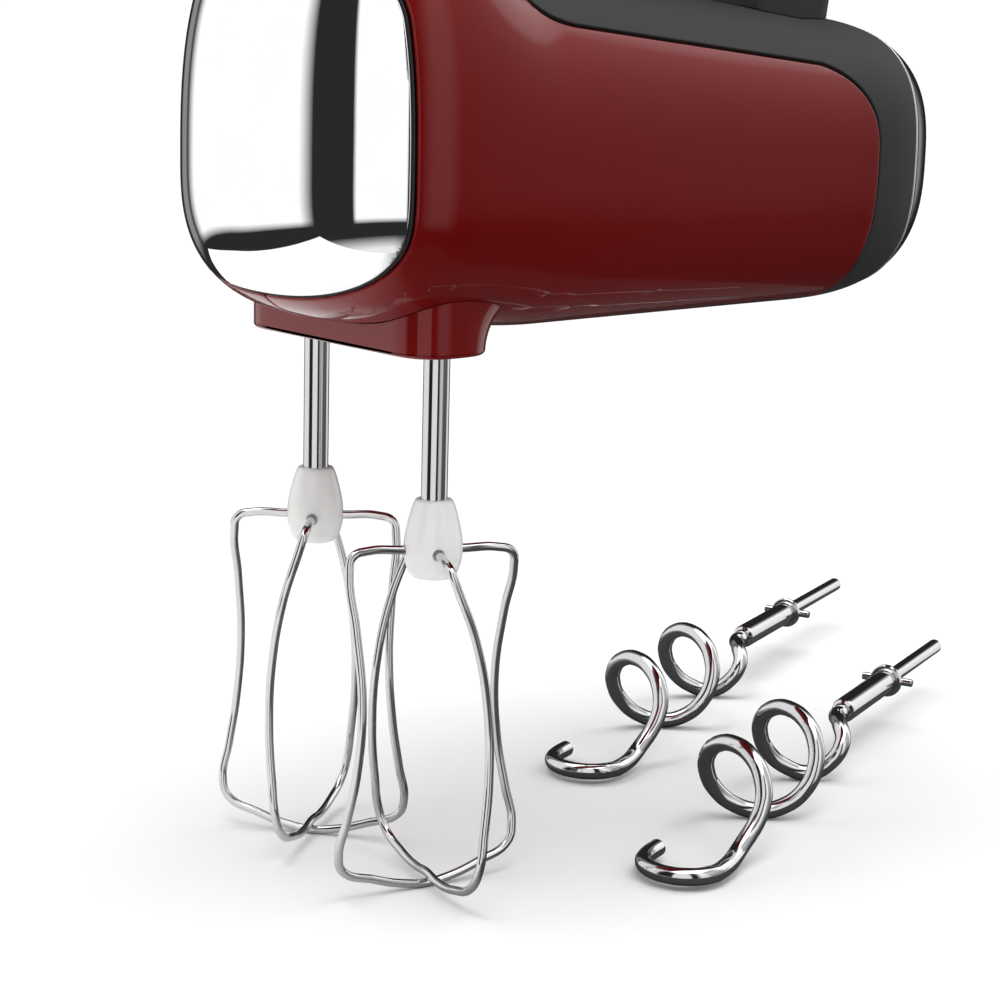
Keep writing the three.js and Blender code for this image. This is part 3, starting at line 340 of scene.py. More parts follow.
def even(points: Sequence[Point], count: int) -> list[Point]:
    """Returns a closed outline walked in equal steps.

    Args:
        points: The outline.
        count: How many steps to take.

    Returns:
        The evenly spaced points.
    """
    loop = [Vector(point) for point in points]
    ends = loop[1:] + loop[:1]
    lengths = [(end - start).length for start, end in zip(loop, ends)]
    total, walked, index = sum(lengths), 0.0, 0
    result: list[Point] = []
    for step in range(count):
        target = total * step / count
        while walked + lengths[index] < target:
            walked += lengths[index]
            index += 1
        at = loop[index].lerp(ends[index], (target - walked) / lengths[index])
        result.append((at.x, at.y))
    return result


def plate(outline: Sequence[Point], level: float, lie: Lie) -> bpy.types.Object:
    """Returns one flat face with a given outline.

    Args:
        outline: The outline's points.
        level: The face's third coordinate.
        lie: Turns an outline point and the level into a place in the frame.

    Returns:
        The flat piece.
    """
    bpy.ops.object.select_all(action="DESELECT")
    bpy.ops.mesh.primitive_circle_add(vertices=len(outline), radius=1, fill_type="NGON")
    piece = bpy.context.object
    for vertex, (first, second) in zip(piece.data.vertices, outline):
        vertex.co = lie(first, second, level)
    return piece


def lie_in_side_view(x: float, z: float, y: float) -> Vector:
    """Returns a side-view outline's point, at a distance across."""
    return place(x, y, z)


def lie_in_plan(x: float, y: float, z: float) -> Vector:
    """Returns a plan outline's point, at a height."""
    return place(x, y, z)


def prism(outline: Sequence[Point], low: float, high: float, lie: Lie = lie_in_side_view) -> bpy.types.Object:
    """Returns a cutting solid with a given outline.

    Args:
        outline: The outline's points.
        low: Where it starts along its third direction.
        high: Where it ends.
        lie: How the outline lies in the frame.

    Returns:
        The solid, marked as a cutting tool.
    """
    piece = plate(outline, low, lie)
    along = lie(0, 0, high) - lie(0, 0, low)
    with Editing(piece):
        bpy.ops.mesh.select_all(action="SELECT")
        bpy.ops.mesh.extrude_region_move(TRANSFORM_OT_translate={"value": along})
        face_outwards()
    return mark(piece, "cut")


def brick(low: Sequence[float], high: Sequence[float]) -> bpy.types.Object:
    """Returns a box between two corners, marked as a cutting tool.

    Args:
        low: The lowest corner.
        high: The highest corner.

    Returns:
        The box.
    """
    corners = [(low[0], low[2]), (high[0], low[2]), (high[0], high[2]), (low[0], high[2])]
    return prism(corners, low[1], high[1])


def rod(centre: Sequence[float], along: Sequence[float], radius: float, sides: int = 48) -> bpy.types.Object:
    """Returns a round cutting tool.

    Args:
        centre: The tool's middle.
        along: Its whole length as a direction.
        radius: Its radius.
        sides: Sides of its section.

    Returns:
        The tool.
    """
    direction = Vector(along)
    turn = direction.to_track_quat("Z", "Y").to_euler()
    bpy.ops.object.select_all(action="DESELECT")
    bpy.ops.mesh.primitive_cylinder_add(
        vertices=sides, radius=radius * MM, depth=direction.length * MM, location=place(*centre),
        rotation=turn)
    piece = bpy.context.object
    bpy.ops.object.transform_apply(location=True, rotation=True, scale=True)
    return mark(piece, "cut")


def turned(profile: Sequence[Point], centre: Sequence[float], along: Sequence[float] = (0, 0, 1),
           steps: int = 64) -> bpy.types.Object:
    """Returns a turned piece, made by spinning a closed profile.

    Args:
        profile: Radius and distance along the axis of each corner, as a closed outline.
        centre: Where the axis starts.
        along: The axis's direction.
        steps: Steps round the axis.

    Returns:
        The turned piece.
    """
    axis = Vector(along).normalized()
    radial = axis.orthogonal().normalized()
    start = place(*centre)
    bpy.ops.object.select_all(action="DESELECT")
    bpy.ops.mesh.primitive_circle_add(vertices=len(profile), radius=1, fill_type="NOTHING")
    piece = bpy.context.object
    for vertex, (radius, height) in zip(piece.data.vertices, profile):
        vertex.co = start + (radial * radius + axis * height) * MM
    with Editing(piece):
        bpy.ops.mesh.select_mode(type="EDGE")
        bpy.ops.mesh.select_all(action="SELECT")
        bpy.ops.mesh.spin(steps=steps, angle=math.tau, center=start, axis=axis)
        face_outwards(0.005)
    return piece


def tube(points: Sequence[Vector], radius: float, sides: int = 5, ends: tuple[bool, bool] = (False, False),
         fineness: int = 8) -> bpy.types.Object:
    """Returns a drawn wire or bent bar through a row of points.

    Args:
        points: Places in the frame, in metres.
        radius: The wire's radius.
        sides: Fineness of its section.
        ends: Whether its first and its last end are chamfered.
        fineness: Steps from point to point.

    Returns:
        The wire as a mesh.
    """
    path = [point.copy() for point in points]
    chamfer = 0.45 * MM
    swell = [1.0] * len(path)
    if ends[0]:
        back = (path[1] - path[0]).normalized() * chamfer
        path[:1] = [path[0], path[0] + back * 0.5, path[0] + back, path[0] + back * 2]
        swell[:1] = [0.72, 0.93, 1.0, 1.0]
    if ends[1]:
        back = (path[-2] - path[-1]).normalized() * chamfer
        path[-1:] = [path[-1] + back * 2, path[-1] + back, path[-1] + back * 0.5, path[-1]]
        swell[-1:] = [1.0, 1.0, 0.93, 0.72]
    curve = bpy.data.curves.new("wire", "CURVE")
    curve.dimensions = "3D"
    curve.bevel_depth = radius * MM
    curve.bevel_resolution = sides
    curve.use_fill_caps = True
    curve.resolution_u = fineness
    spline = curve.splines.new("BEZIER")
    spline.bezier_points.add(len(path) - 1)
    for knot, at, size in zip(spline.bezier_points, path, swell):
        knot.co = at
        knot.radius = size
        knot.handle_left_type = knot.handle_right_type = "AUTO"
    piece = bpy.data.objects.new("wire", curve)
    bpy.context.scene.collection.objects.link(piece)
    pick(piece)
    bpy.ops.object.convert(target="MESH")
    piece = bpy.context.object
    with Editing(piece):
        face_outwards(0.003)
    return piece


# ---------------------------------------------------------------------------------------------
# Finishes
# ---------------------------------------------------------------------------------------------


def add_node(tree: bpy.types.NodeTree, kind: str, **values: object) -> bpy.types.Node:
    """Adds a shader node.

    Args:
        tree: The node tree.
        kind: The node's kind, without "ShaderNode".
        **values: Its inputs' values, with low lines for the spaces in their names.

    Returns:
        The node.
    """
    node = tree.nodes.new(f"ShaderNode{kind}")
    set_inputs(node, **values)
    return node


def set_inputs(node: bpy.types.Node, **values: object) -> None:
    """Sets a node's inputs.

    Args:
        node: The node.
        **values: The values, with low lines for the spaces in the inputs' names.
    """
    for name, value in values.items():
        node.inputs[name.replace("_", " ")].default_value = value


class Pattern(Enum):
    """The fine figure that a finish shows close up."""

    FLAKE = "flake"
    GRAIN = "grain"
    POLISH = "polish"
    DRAWN = "drawn"
    LAMINATE = "laminate"
    WINDING = "winding"


Colour = tuple[float, float, float]
HANDLING_SCALE = 55
DRAWN_STRETCH = 0.02
SHELL_CREASE = 50


@dataclass(frozen=True)
class Finish:
    """One finish: two colours, a gloss and a fine figure."""

    name: str
    slot: str
    base: Colour
    shade: Colour
    metallic: float
    roughness: float
    spread: float
    pattern: Pattern
    pitch: float
    relief: float
    coat: float = 0.0
    coat_roughness: float = 0.03
    coat_index: float = 1.5
    subsurface: float = 0.0
    specular: float = 0.5

    def material(self) -> bpy.types.Material:
        """Returns this finish's material, which is made once."""
        made = bpy.data.materials.get(self.name)
        if made:
            return made
        made = bpy.data.materials.new(self.name)
        made.use_nodes = True
        tree, links = made.node_tree, made.node_tree.links
        shader = tree.nodes["Principled BSDF"]
        set_inputs(shader, Metallic=self.metallic, Coat_Weight=self.coat, Coat_Roughness=self.coat_roughness,
                   Coat_IOR=self.coat_index, Subsurface_Weight=self.subsurface, Subsurface_Scale=MM,
                   Specular_IOR_Level=self.specular)
        where = add_node(tree, "TexCoord").outputs["Object"]
        figure = self._figure(tree, where)
        tint = add_node(tree, "Mix")
        tint.data_type = "RGBA"
        set_inputs(tint, A=(*self.base, 1), B=(*self.shade, 1))
        links.new(figure, tint.inputs["Factor"])
        links.new(tint.outputs["Result"], shader.inputs["Base Color"])
        handling = add_node(tree, "TexNoise", Scale=HANDLING_SCALE, Detail=5)
        links.new(where, handling.inputs["Vector"])
        gloss = add_node(tree, "MapRange", From_Min=0.3, From_Max=0.7,
                         To_Min=max(0.0, self.roughness - self.spread), To_Max=self.roughness + self.spread)
        links.new(handling.outputs["Fac"], gloss.inputs["Value"])
        links.new(gloss.outputs["Result"], shader.inputs["Roughness"])
        bump = add_node(tree, "Bump", Strength=1.0, Distance=self.relief * MM)
        links.new(figure, bump.inputs["Height"])
        links.new(bump.outputs["Normal"], shader.inputs["Normal"])
        return made

    def _figure(self, tree: bpy.types.NodeTree, where: bpy.types.NodeSocket) -> bpy.types.NodeSocket:
        """Adds the fine figure's nodes.

        Args:
            tree: The material's nodes.
            where: The coordinates that the figure follows.

        Returns:
            The figure's factor, from 0 to 1.
        """
        links, frequency = tree.links, 1 / (self.pitch * MM)
        if self.pattern is Pattern.FLAKE:
            flakes = add_node(tree, "TexVoronoi", Scale=frequency)
            links.new(where, flakes.inputs["Vector"])
            split = add_node(tree, "SeparateColor")
            links.new(flakes.outputs["Color"], split.inputs["Color"])
            return split.outputs["Red"]
        if self.pattern in (Pattern.LAMINATE, Pattern.WINDING):
            bands = add_node(tree, "TexWave", Scale=frequency * math.pi / 10, Distortion=0.4)
            bands.bands_direction = "X" if self.pattern is Pattern.LAMINATE else "DIAGONAL"
            links.new(where, bands.inputs["Vector"])
            return bands.outputs["Fac"]
        noise = add_node(tree, "TexNoise", Scale=frequency, Detail=3)
        if self.pattern is Pattern.DRAWN:
            stretch = add_node(tree, "Mapping", Scale=(1, 1, DRAWN_STRETCH))
            links.new(where, stretch.inputs["Vector"])
            where = stretch.outputs["Vector"]
        links.new(where, noise.inputs["Vector"])
        return noise.outputs["Fac"]


RED_LACQUER = Finish("red_lacquer", "red_shell", (0.165, 0.0011, 0.0014), (0.22, 0.003, 0.0035), 0.3, 0.42,
                     0.03, Pattern.FLAKE, 0.12, 0.0, coat=1.0, coat_index=1.36, specular=0.1)
CHROME = Finish("mirror_chrome", "chrome", (0.88, 0.89, 0.9), (0.93, 0.93, 0.94), 1.0, 0.025, 0.012,
                Pattern.POLISH, 9.0, 0.004)
SATIN_BLACK = Finish("satin_black", "satin_black", (0.004, 0.004, 0.004), (0.008, 0.008, 0.008), 0.0, 0.34,
                     0.05, Pattern.GRAIN, 0.25, 0.012, specular=0.24)
GLOSS_BLACK = Finish("gloss_black", "gloss_black", (0.006, 0.006, 0.007), (0.012, 0.012, 0.013), 0.0, 0.16,
                     0.04, Pattern.POLISH, 6.0, 0.004, coat=0.35, specular=0.3)
RUBBER = Finish("black_rubber", "rubber", (0.008, 0.008, 0.008), (0.016, 0.016, 0.016), 0.0, 0.7, 0.06,
                Pattern.GRAIN, 0.3, 0.02)
SILVER = Finish("silver_trim", "silver_trim", (0.5, 0.5, 0.51), (0.62, 0.62, 0.63), 1.0, 0.26, 0.05,
                Pattern.GRAIN, 0.2, 0.004)
BUTTON_GREY = Finish("button_grey", "button_grey", (0.2, 0.205, 0.21), (0.3, 0.305, 0.31), 0.55, 0.36, 0.05,
                     Pattern.FLAKE, 0.1, 0.0)
TOOL_STEEL = Finish("polished_steel", "tool_steel", (0.56, 0.56, 0.57), (0.68, 0.68, 0.69), 1.0, 0.08, 0.03,
                    Pattern.DRAWN, 0.5, 0.003)
HUB_WHITE = Finish("moulded_white", "white_plastic", (0.9, 0.9, 0.89), (0.94, 0.94, 0.93), 0.0, 0.24, 0.05,
                   Pattern.POLISH, 3.0, 0.006, subsurface=0.15)
NYLON = Finish("natural_nylon", "nylon", (0.6, 0.56, 0.47), (0.7, 0.66, 0.58), 0.0, 0.5, 0.08,
               Pattern.GRAIN, 0.6, 0.02, subsurface=0.05)
SPRING = Finish("spring_wire", "spring_steel", (0.42, 0.42, 0.44), (0.56, 0.56, 0.58), 1.0, 0.28, 0.06,
                Pattern.DRAWN, 0.2, 0.004)
SCREW = Finish("plated_steel", "screw_steel", (0.38, 0.38, 0.4), (0.52, 0.52, 0.53), 1.0, 0.3, 0.08,
               Pattern.GRAIN, 0.4, 0.006)
BRONZE = Finish("oiled_bronze", "sintered_bronze", (0.36, 0.22, 0.1), (0.5, 0.34, 0.17), 1.0, 0.42, 0.08,
                Pattern.GRAIN, 0.15, 0.01)
IRON = Finish("stacked_iron", "motor_iron", (0.1, 0.105, 0.11), (0.22, 0.225, 0.235), 0.9, 0.42, 0.08,
              Pattern.LAMINATE, 0.5, 0.03)
COPPER = Finish("enamelled_copper", "copper", (0.42, 0.15, 0.06), (0.66, 0.28, 0.13), 1.0, 0.3, 0.06,
                Pattern.WINDING, 0.45, 0.05, coat=0.5)
CARBON = Finish("pressed_carbon", "carbon", (0.02, 0.02, 0.021), (0.045, 0.045, 0.047), 0.0, 0.6, 0.08,
                Pattern.GRAIN, 0.2, 0.02)
BOARD = Finish("green_laminate", "board", (0.02, 0.1, 0.04), (0.045, 0.17, 0.075), 0.0, 0.4, 0.06,
               Pattern.GRAIN, 1.5, 0.01, coat=0.4)


def dress(piece: bpy.types.Object, name: str, finish: Finish, body: str, nodes: Sequence[str] = (),
          angle: float = 32) -> bpy.types.Object:
    """Names a finished piece, gives it its finish and fixes it to its body.

    Args:
        piece: The finished piece.
        name: Its name.
        finish: Its finish.
        body: The body that it rides on.
        nodes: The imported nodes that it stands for.
        angle: Edges sharper than this stay crisp, in degrees.

    Returns:
        The same piece.
    """
    piece.name = piece.data.name = name
    piece.data.materials.clear()
    piece.data.materials.append(finish.material())
    pick(piece)
    bpy.ops.object.shade_smooth_by_angle(angle=math.radians(angle))
    modify(piece, "WEIGHTED_NORMAL", keep_sharp=True)
    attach(piece, body)
    if nodes:
        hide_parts(*nodes)
    LOG.info("%s: %d faces on %s", name, len(piece.data.polygons), body)
    return piece


def dress_shell(sheet: bpy.types.Object, wall: float, roll: float, name: str, finish: Finish,
                node: str) -> None:
    """Gives a sheet its wall and rolled rim, and dresses it as a part of the housing.

    Args:
        sheet: The open sheet.
        wall: Thickness of the wall, inwards.
        roll: Radius of the rolled rim.
        name: Its name.
        finish: Its finish.
        node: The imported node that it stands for.
    """
    dress(thicken(sheet, wall, roll), name, finish, "housing", [node], SHELL_CREASE)


# ---------------------------------------------------------------------------------------------
# Studio
# ---------------------------------------------------------------------------------------------


@dataclass
class Studio:
    """The camera, the pale floor and the soft light around the mixer."""

    turn: float = 40.99
    tilt: float = 11.94
    roll: float = 1.52
    lens: float = 85.39
    sensor: float = 36.0
    sight: float = 100.0
    eye: tuple[float, float, float] = (-310.46, -399.45, 190.13)
    floor_across: tuple[float, float] = (-300.0, 175.0)
    floor_ahead: tuple[float, float] = (-205.0, 270.0)
    floor_dark: tuple[float, float] = (-30.0, 40.0)
    floor_tone: float = 0.98
    card_tone: float = 0.08
    gap_glow: float = 0.03
    backdrop: float = 1.3

    def camera(self) -> None:
        """Makes the camera and hands it to the scene."""
        turn, tilt, roll = (math.radians(angle) for angle in (self.turn, self.tilt, self.roll))
        ahead = Vector((math.sin(turn) * math.cos(tilt), math.cos(turn) * math.cos(tilt), -math.sin(tilt)))
        level = Vector((math.cos(turn), -math.sin(turn), 0))
        upward = level.cross(ahead)
        right = level * math.cos(roll) + upward * math.sin(roll)
        top = upward * math.cos(roll) - level * math.sin(roll)
        place_in_room = Matrix((right, top, -ahead)).transposed().to_4x4()
        place_in_room.translation = ORIGIN + Vector(self.eye) * MM
        bpy.ops.object.camera_add()
        camera = bpy.context.object
        camera.name = "studio_camera"
        camera.matrix_world = place_in_room
        camera.data.lens = self.lens
        camera.data.sensor_width = self.sensor
        camera.data.clip_end = self.sight
        bpy.context.scene.camera = camera

    def floor(self) -> None:
        """Lays the pale table top under the beaters and hooks, in line with the camera."""
        turn = math.radians(self.turn)
        bpy.ops.object.select_all(action="DESELECT")
        bpy.ops.mesh.primitive_plane_add(size=1)
        floor = bpy.context.object
        for vertex in floor.data.vertices:
            across = mix(*self.floor_across, vertex.co.x + 0.5)
            ahead = mix(*self.floor_ahead, vertex.co.y + 0.5)
            vertex.co = place(across * math.cos(turn) + ahead * math.sin(turn),
                              ahead * math.cos(turn) - across * math.sin(turn), 0)
        floor.name = "studio_floor"
        floor.data.materials.append(self.floor_finish())

    def floor_finish(self) -> bpy.types.Material:
        """Returns the floor's pale finish.

        Reflections see the floor's right-hand side as a dark card, so that the shells stay deep in colour.
        """
        turn = math.radians(self.turn)
        pale = bpy.data.materials.new("studio_floor")
        pale.use_nodes = True
        tree, links = pale.node_tree, pale.node_tree.links
        shader = tree.nodes["Principled BSDF"]
        set_inputs(shader, Base_Color=(*[self.floor_tone] * 3, 1), Roughness=0.6, Specular_IOR_Level=0.2)
        where = add_node(tree, "TexCoord")
        rightward = Vector((math.cos(turn), -math.sin(turn), 0))
        across = add_node(tree, "VectorMath")
        across.operation = "DOT_PRODUCT"
        across.inputs[1].default_value = rightward
        links.new(where.outputs["Object"], across.inputs[0])
        start, end = (ORIGIN.dot(rightward) + edge * MM for edge in self.floor_dark)
        side = add_node(tree, "MapRange", From_Min=start, From_Max=end)
        links.new(across.outputs["Value"], side.inputs["Value"])
        path = add_node(tree, "LightPath")
        hidden = add_node(tree, "Math")
        hidden.operation = "MULTIPLY"
        links.new(side.outputs["Result"], hidden.inputs[0])
        links.new(path.outputs["Is Glossy Ray"], hidden.inputs[1])
        dark = add_node(tree, "BsdfDiffuse", Color=(*[self.card_tone] * 3, 1))
        seen = add_node(tree, "MixShader")
        links.new(hidden.outputs["Value"], seen.inputs["Fac"])
        links.new(shader.outputs["BSDF"], seen.inputs[1])
        links.new(dark.outputs["BSDF"], seen.inputs[2])
        links.new(seen.outputs["Shader"], tree.nodes["Material Output"].inputs["Surface"])
        return pale

    def light(self) -> None:
        """Surrounds the scene with large soft boxes, with dark gaps between them."""
        world = bpy.data.worlds.new("studio")
        bpy.context.scene.world = world
        world.use_nodes = True
        tree, links = world.node_tree, world.node_tree.links
        tree.nodes.clear()

        def worked_out(kind: str, *inputs: object) -> bpy.types.NodeSocket:
            """Adds one calculation.

            Args:
                kind: The calculation.
                *inputs: Its values or the sockets that give them.

            Returns:
                Its result.
            """
            node = add_node(tree, "Math")
            node.operation = kind
            for socket, value in zip(node.inputs, inputs):
                if isinstance(value, bpy.types.NodeSocket):
                    links.new(value, socket)
                else:
                    socket.default_value = value
            return node.outputs["Value"]

        def band(value: bpy.types.NodeSocket, low: float, high: float, soft: float) -> bpy.types.NodeSocket:
            """Adds a soft-edged band.

            Args:
                value: What is tested.
                low: Where the band starts.
                high: Where it ends.
                soft: Width of its edges.

            Returns:
                1 inside the band, 0 outside it.
            """
            rise = worked_out("MULTIPLY", worked_out("SUBTRACT", value, low), 1 / soft)
            fall = worked_out("MULTIPLY", worked_out("SUBTRACT", high, value), 1 / soft)
            inside = worked_out("MINIMUM", rise, fall)
            clamped = add_node(tree, "Clamp")
            links.new(inside, clamped.inputs["Value"])
            return clamped.outputs["Result"]

        where = add_node(tree, "TexCoord")
        split = add_node(tree, "SeparateXYZ")
        links.new(where.outputs["Generated"], split.inputs["Vector"])
        x, y, z = (split.outputs[name] for name in "XYZ")
        sine, cosine = math.sin(math.radians(self.turn)), math.cos(math.radians(self.turn))
        behind = worked_out("ADD", worked_out("MULTIPLY", x, -sine), worked_out("MULTIPLY", y, -cosine))
        rightward = worked_out("ADD", worked_out("MULTIPLY", x, cosine), worked_out("MULTIPLY", y, -sine))
        around = worked_out("MULTIPLY", worked_out("ARCTAN2", rightward, behind), 180 / math.pi)
        above = worked_out("MULTIPLY", worked_out("ARCSINE", z), 180 / math.pi)
        brightness = self.gap_glow
        for low, high, side, bottom, top, fade, strength in SOFT_BOXES:
            box = worked_out("MULTIPLY", band(around, low, high, side), band(above, bottom, top, fade))
            brightness = worked_out("ADD", brightness, worked_out("MULTIPLY", box, strength))
        room = add_node(tree, "Background")
        links.new(brightness, room.inputs["Strength"])
        backdrop = add_node(tree, "Background", Strength=self.backdrop)
        path = add_node(tree, "LightPath")
        seen = add_node(tree, "MixShader")
        links.new(path.outputs["Is Camera Ray"], seen.inputs["Fac"])
        links.new(room.outputs["Background"], seen.inputs[1])
        links.new(backdrop.outputs["Background"], seen.inputs[2])
        output = add_node(tree, "OutputWorld")
        links.new(seen.outputs["Shader"], output.inputs["Surface"])


# Degrees round from behind the camera to its right and width of the side edges, then degrees above the
# horizon and width of the upper and lower edges, then brightness
SOFT_BOXES = (
    (-156, -140, 4, -18, 80, 4, 0.3),
    (-140, -62, 9, -18, 80, 3, 1.35),
    (-34, 14, 3, -18, 80, 3, 1.35),
    (24, 150, 16, -18, 96, 58, 1.0),
    (26, 66, 12, -24, 66, 6, 0.8),
    (106, 142, 5, -28, 66, 5, 1.1),
    (-126, 20, 18, -90, -26, 10, 1.1),
    (-180, 180, 5, 56, 100, 12, 3.6),
)


# ---------------------------------------------------------------------------------------------
# Body shells
# ---------------------------------------------------------------------------------------------


def eased(share: float, power: float) -> float:
    """Returns a share that starts and ends slowly, so that steps stay even round a superellipse."""
    return share ** power / (share ** power + (1 - share) ** power)


@dataclass
class BodyForm:
    """The body's outer form: a superellipse in plan, drawn up and down to its deck and belly."""

    axis_z: float = 155.0
    spine_start: float = -7.0
    spine_end: float = 112.0
    nose_length: float = 30.0
    heel_length: float = 42.0
    nose_half_width: float = 42.0
    heel_half_width: float = 37.0
    belly_drop: float = 35.0
    nose_drop: float = 32.0
    belly_back: float = 30.0
    nose_rise: float = 60.0
    deck_rise_front: float = 44.0
    deck_rise_rear: float = 33.5
    deck_front: float = 20.0
    nose_power: float = 2.3
    heel_power: float = 2.8
    section_power: float = 2.75
    nose_ease: float = 1.1
    heel_ease: float = 1.4
    side_share: float = 1.6

    def rise(self, station: float) -> float:
        """Returns the deck's height above the axis at a station."""
        if station < self.deck_front:
            share = (station - self.spine_start) / (self.deck_front - self.spine_start)
            return mix(self.nose_rise, self.deck_rise_front, math.sin(math.pi / 2 * share) ** 1.5)
        share = (station - self.deck_front) / (self.spine_end - self.deck_front)
        return mix(self.deck_rise_front, self.deck_rise_rear, share)

    def drop(self, station: float) -> float:
        """Returns the belly's depth below the axis at a station."""
        share = min(1.0, (station - self.spine_start) / (self.belly_back - self.spine_start))
        return mix(self.nose_drop, self.belly_drop, (1 - math.cos(math.pi * share)) / 2)

    def belly(self, y: float) -> float:
        """Returns the height of the belly's surface over the plinth at a distance across."""
        spread = min(0.97, abs(y) / self.nose_half_width)
        height = (1 - spread ** self.section_power) ** (1 / self.section_power)
        return self.axis_z - self.drop(0) * height

    def plan(self, inset: float, fineness: int) -> list[tuple[float, float, float]]:
        """Returns half of the plan outline.

        Args:
            inset: How far the outline is moved inwards.
            fineness: Steps round the nose.

        Returns:
            The spine's station, X and Y of each point, from the nose to the heel.
        """
        points = []
        for step in range(fineness + 1):
            angle = math.pi / 2 * eased(step / fineness, self.nose_ease)
            away = (self.nose_length - inset) * max(0.0, math.cos(angle)) ** (2 / self.nose_power)
            out = (self.nose_half_width - inset) * math.sin(angle) ** (2 / self.nose_power)
            points.append((self.spine_start, self.spine_start - away, out))
        straight = round(self.side_share * fineness)
        for step in range(1, straight):
            share = step / straight
            station = mix(self.spine_start, self.spine_end, share)
            blend = (1 - math.cos(math.pi * share)) / 2
            width = mix(self.nose_half_width, self.heel_half_width, mix(share, blend, 0.5))
            points.append((station, station, width - inset))
        for step in range(fineness, -1, -1):
            angle = math.pi / 2 * eased(step / fineness, self.heel_ease)
            away = (self.heel_length - inset) * max(0.0, math.cos(angle)) ** (2 / self.heel_power)
            out = (self.heel_half_width - inset) * math.sin(angle) ** (2 / self.heel_power)
            points.append((self.spine_end, self.spine_end + away, out))
        return points

    def solid(self, inset: float, name: str = "skin", fineness: int = 28, levels: int = 92
              ) -> bpy.types.Object:
        """Returns the body's form as a closed piece.

        Args:
            inset: How far it is moved inwards.
            name: "skin" for a surface that stays, "cut" for a cutting tool.
            fineness: Steps round the nose.
            levels: Steps from belly to deck.

        Returns:
            The closed form.
        """
        plan = self.plan(inset, fineness)
        last = len(plan) - 1
        bpy.ops.object.select_all(action="DESELECT")
        bpy.ops.mesh.primitive_grid_add(x_subdivisions=2 * last, y_subdivisions=levels, size=1)
        piece = bpy.context.object
        for vertex in piece.data.vertices:
            column = round((vertex.co.x + 0.5) * 2 * last)
            share = 2 * round((vertex.co.y + 0.5) * levels) / levels - 1
            angle = math.copysign(math.pi / 2 * eased(abs(share), self.section_power / 2), share)
            height = math.copysign(abs(math.sin(angle)) ** (2 / self.section_power), angle)
            spread = max(0.0, math.cos(angle)) ** (2 / self.section_power)
            station, x, y = plan[column if column <= last else 2 * last - column]
            reach = (self.drop(station) if height < 0 else self.rise(station)) - inset
            side = 1 if column <= last else -1
            vertex.co = place(station + (x - station) * spread, side * y * spread,
                              self.axis_z + reach * height)
        with Editing(piece):
            bpy.ops.mesh.select_all(action="SELECT")
            bpy.ops.mesh.remove_doubles(threshold=0.01 * MM)
            bpy.ops.mesh.dissolve_degenerate(threshold=0.01 * MM)
            bpy.ops.mesh.normals_make_consistent(inside=False)
        return mark(piece, name)


def trim(piece: bpy.types.Object, at: Vector, normal: Sequence[float]) -> bpy.types.Object:
    """Cuts away what lies in front of a plane.

    Args:
        piece: The piece.
        at: A point on the plane.
        normal: The direction that is cut away.

    Returns:
        The cut piece.
    """
    with Editing(piece):
        bpy.ops.mesh.select_all(action="SELECT")
        bpy.ops.mesh.bisect(plane_co=at, plane_no=normal, clear_outer=True)
    return piece


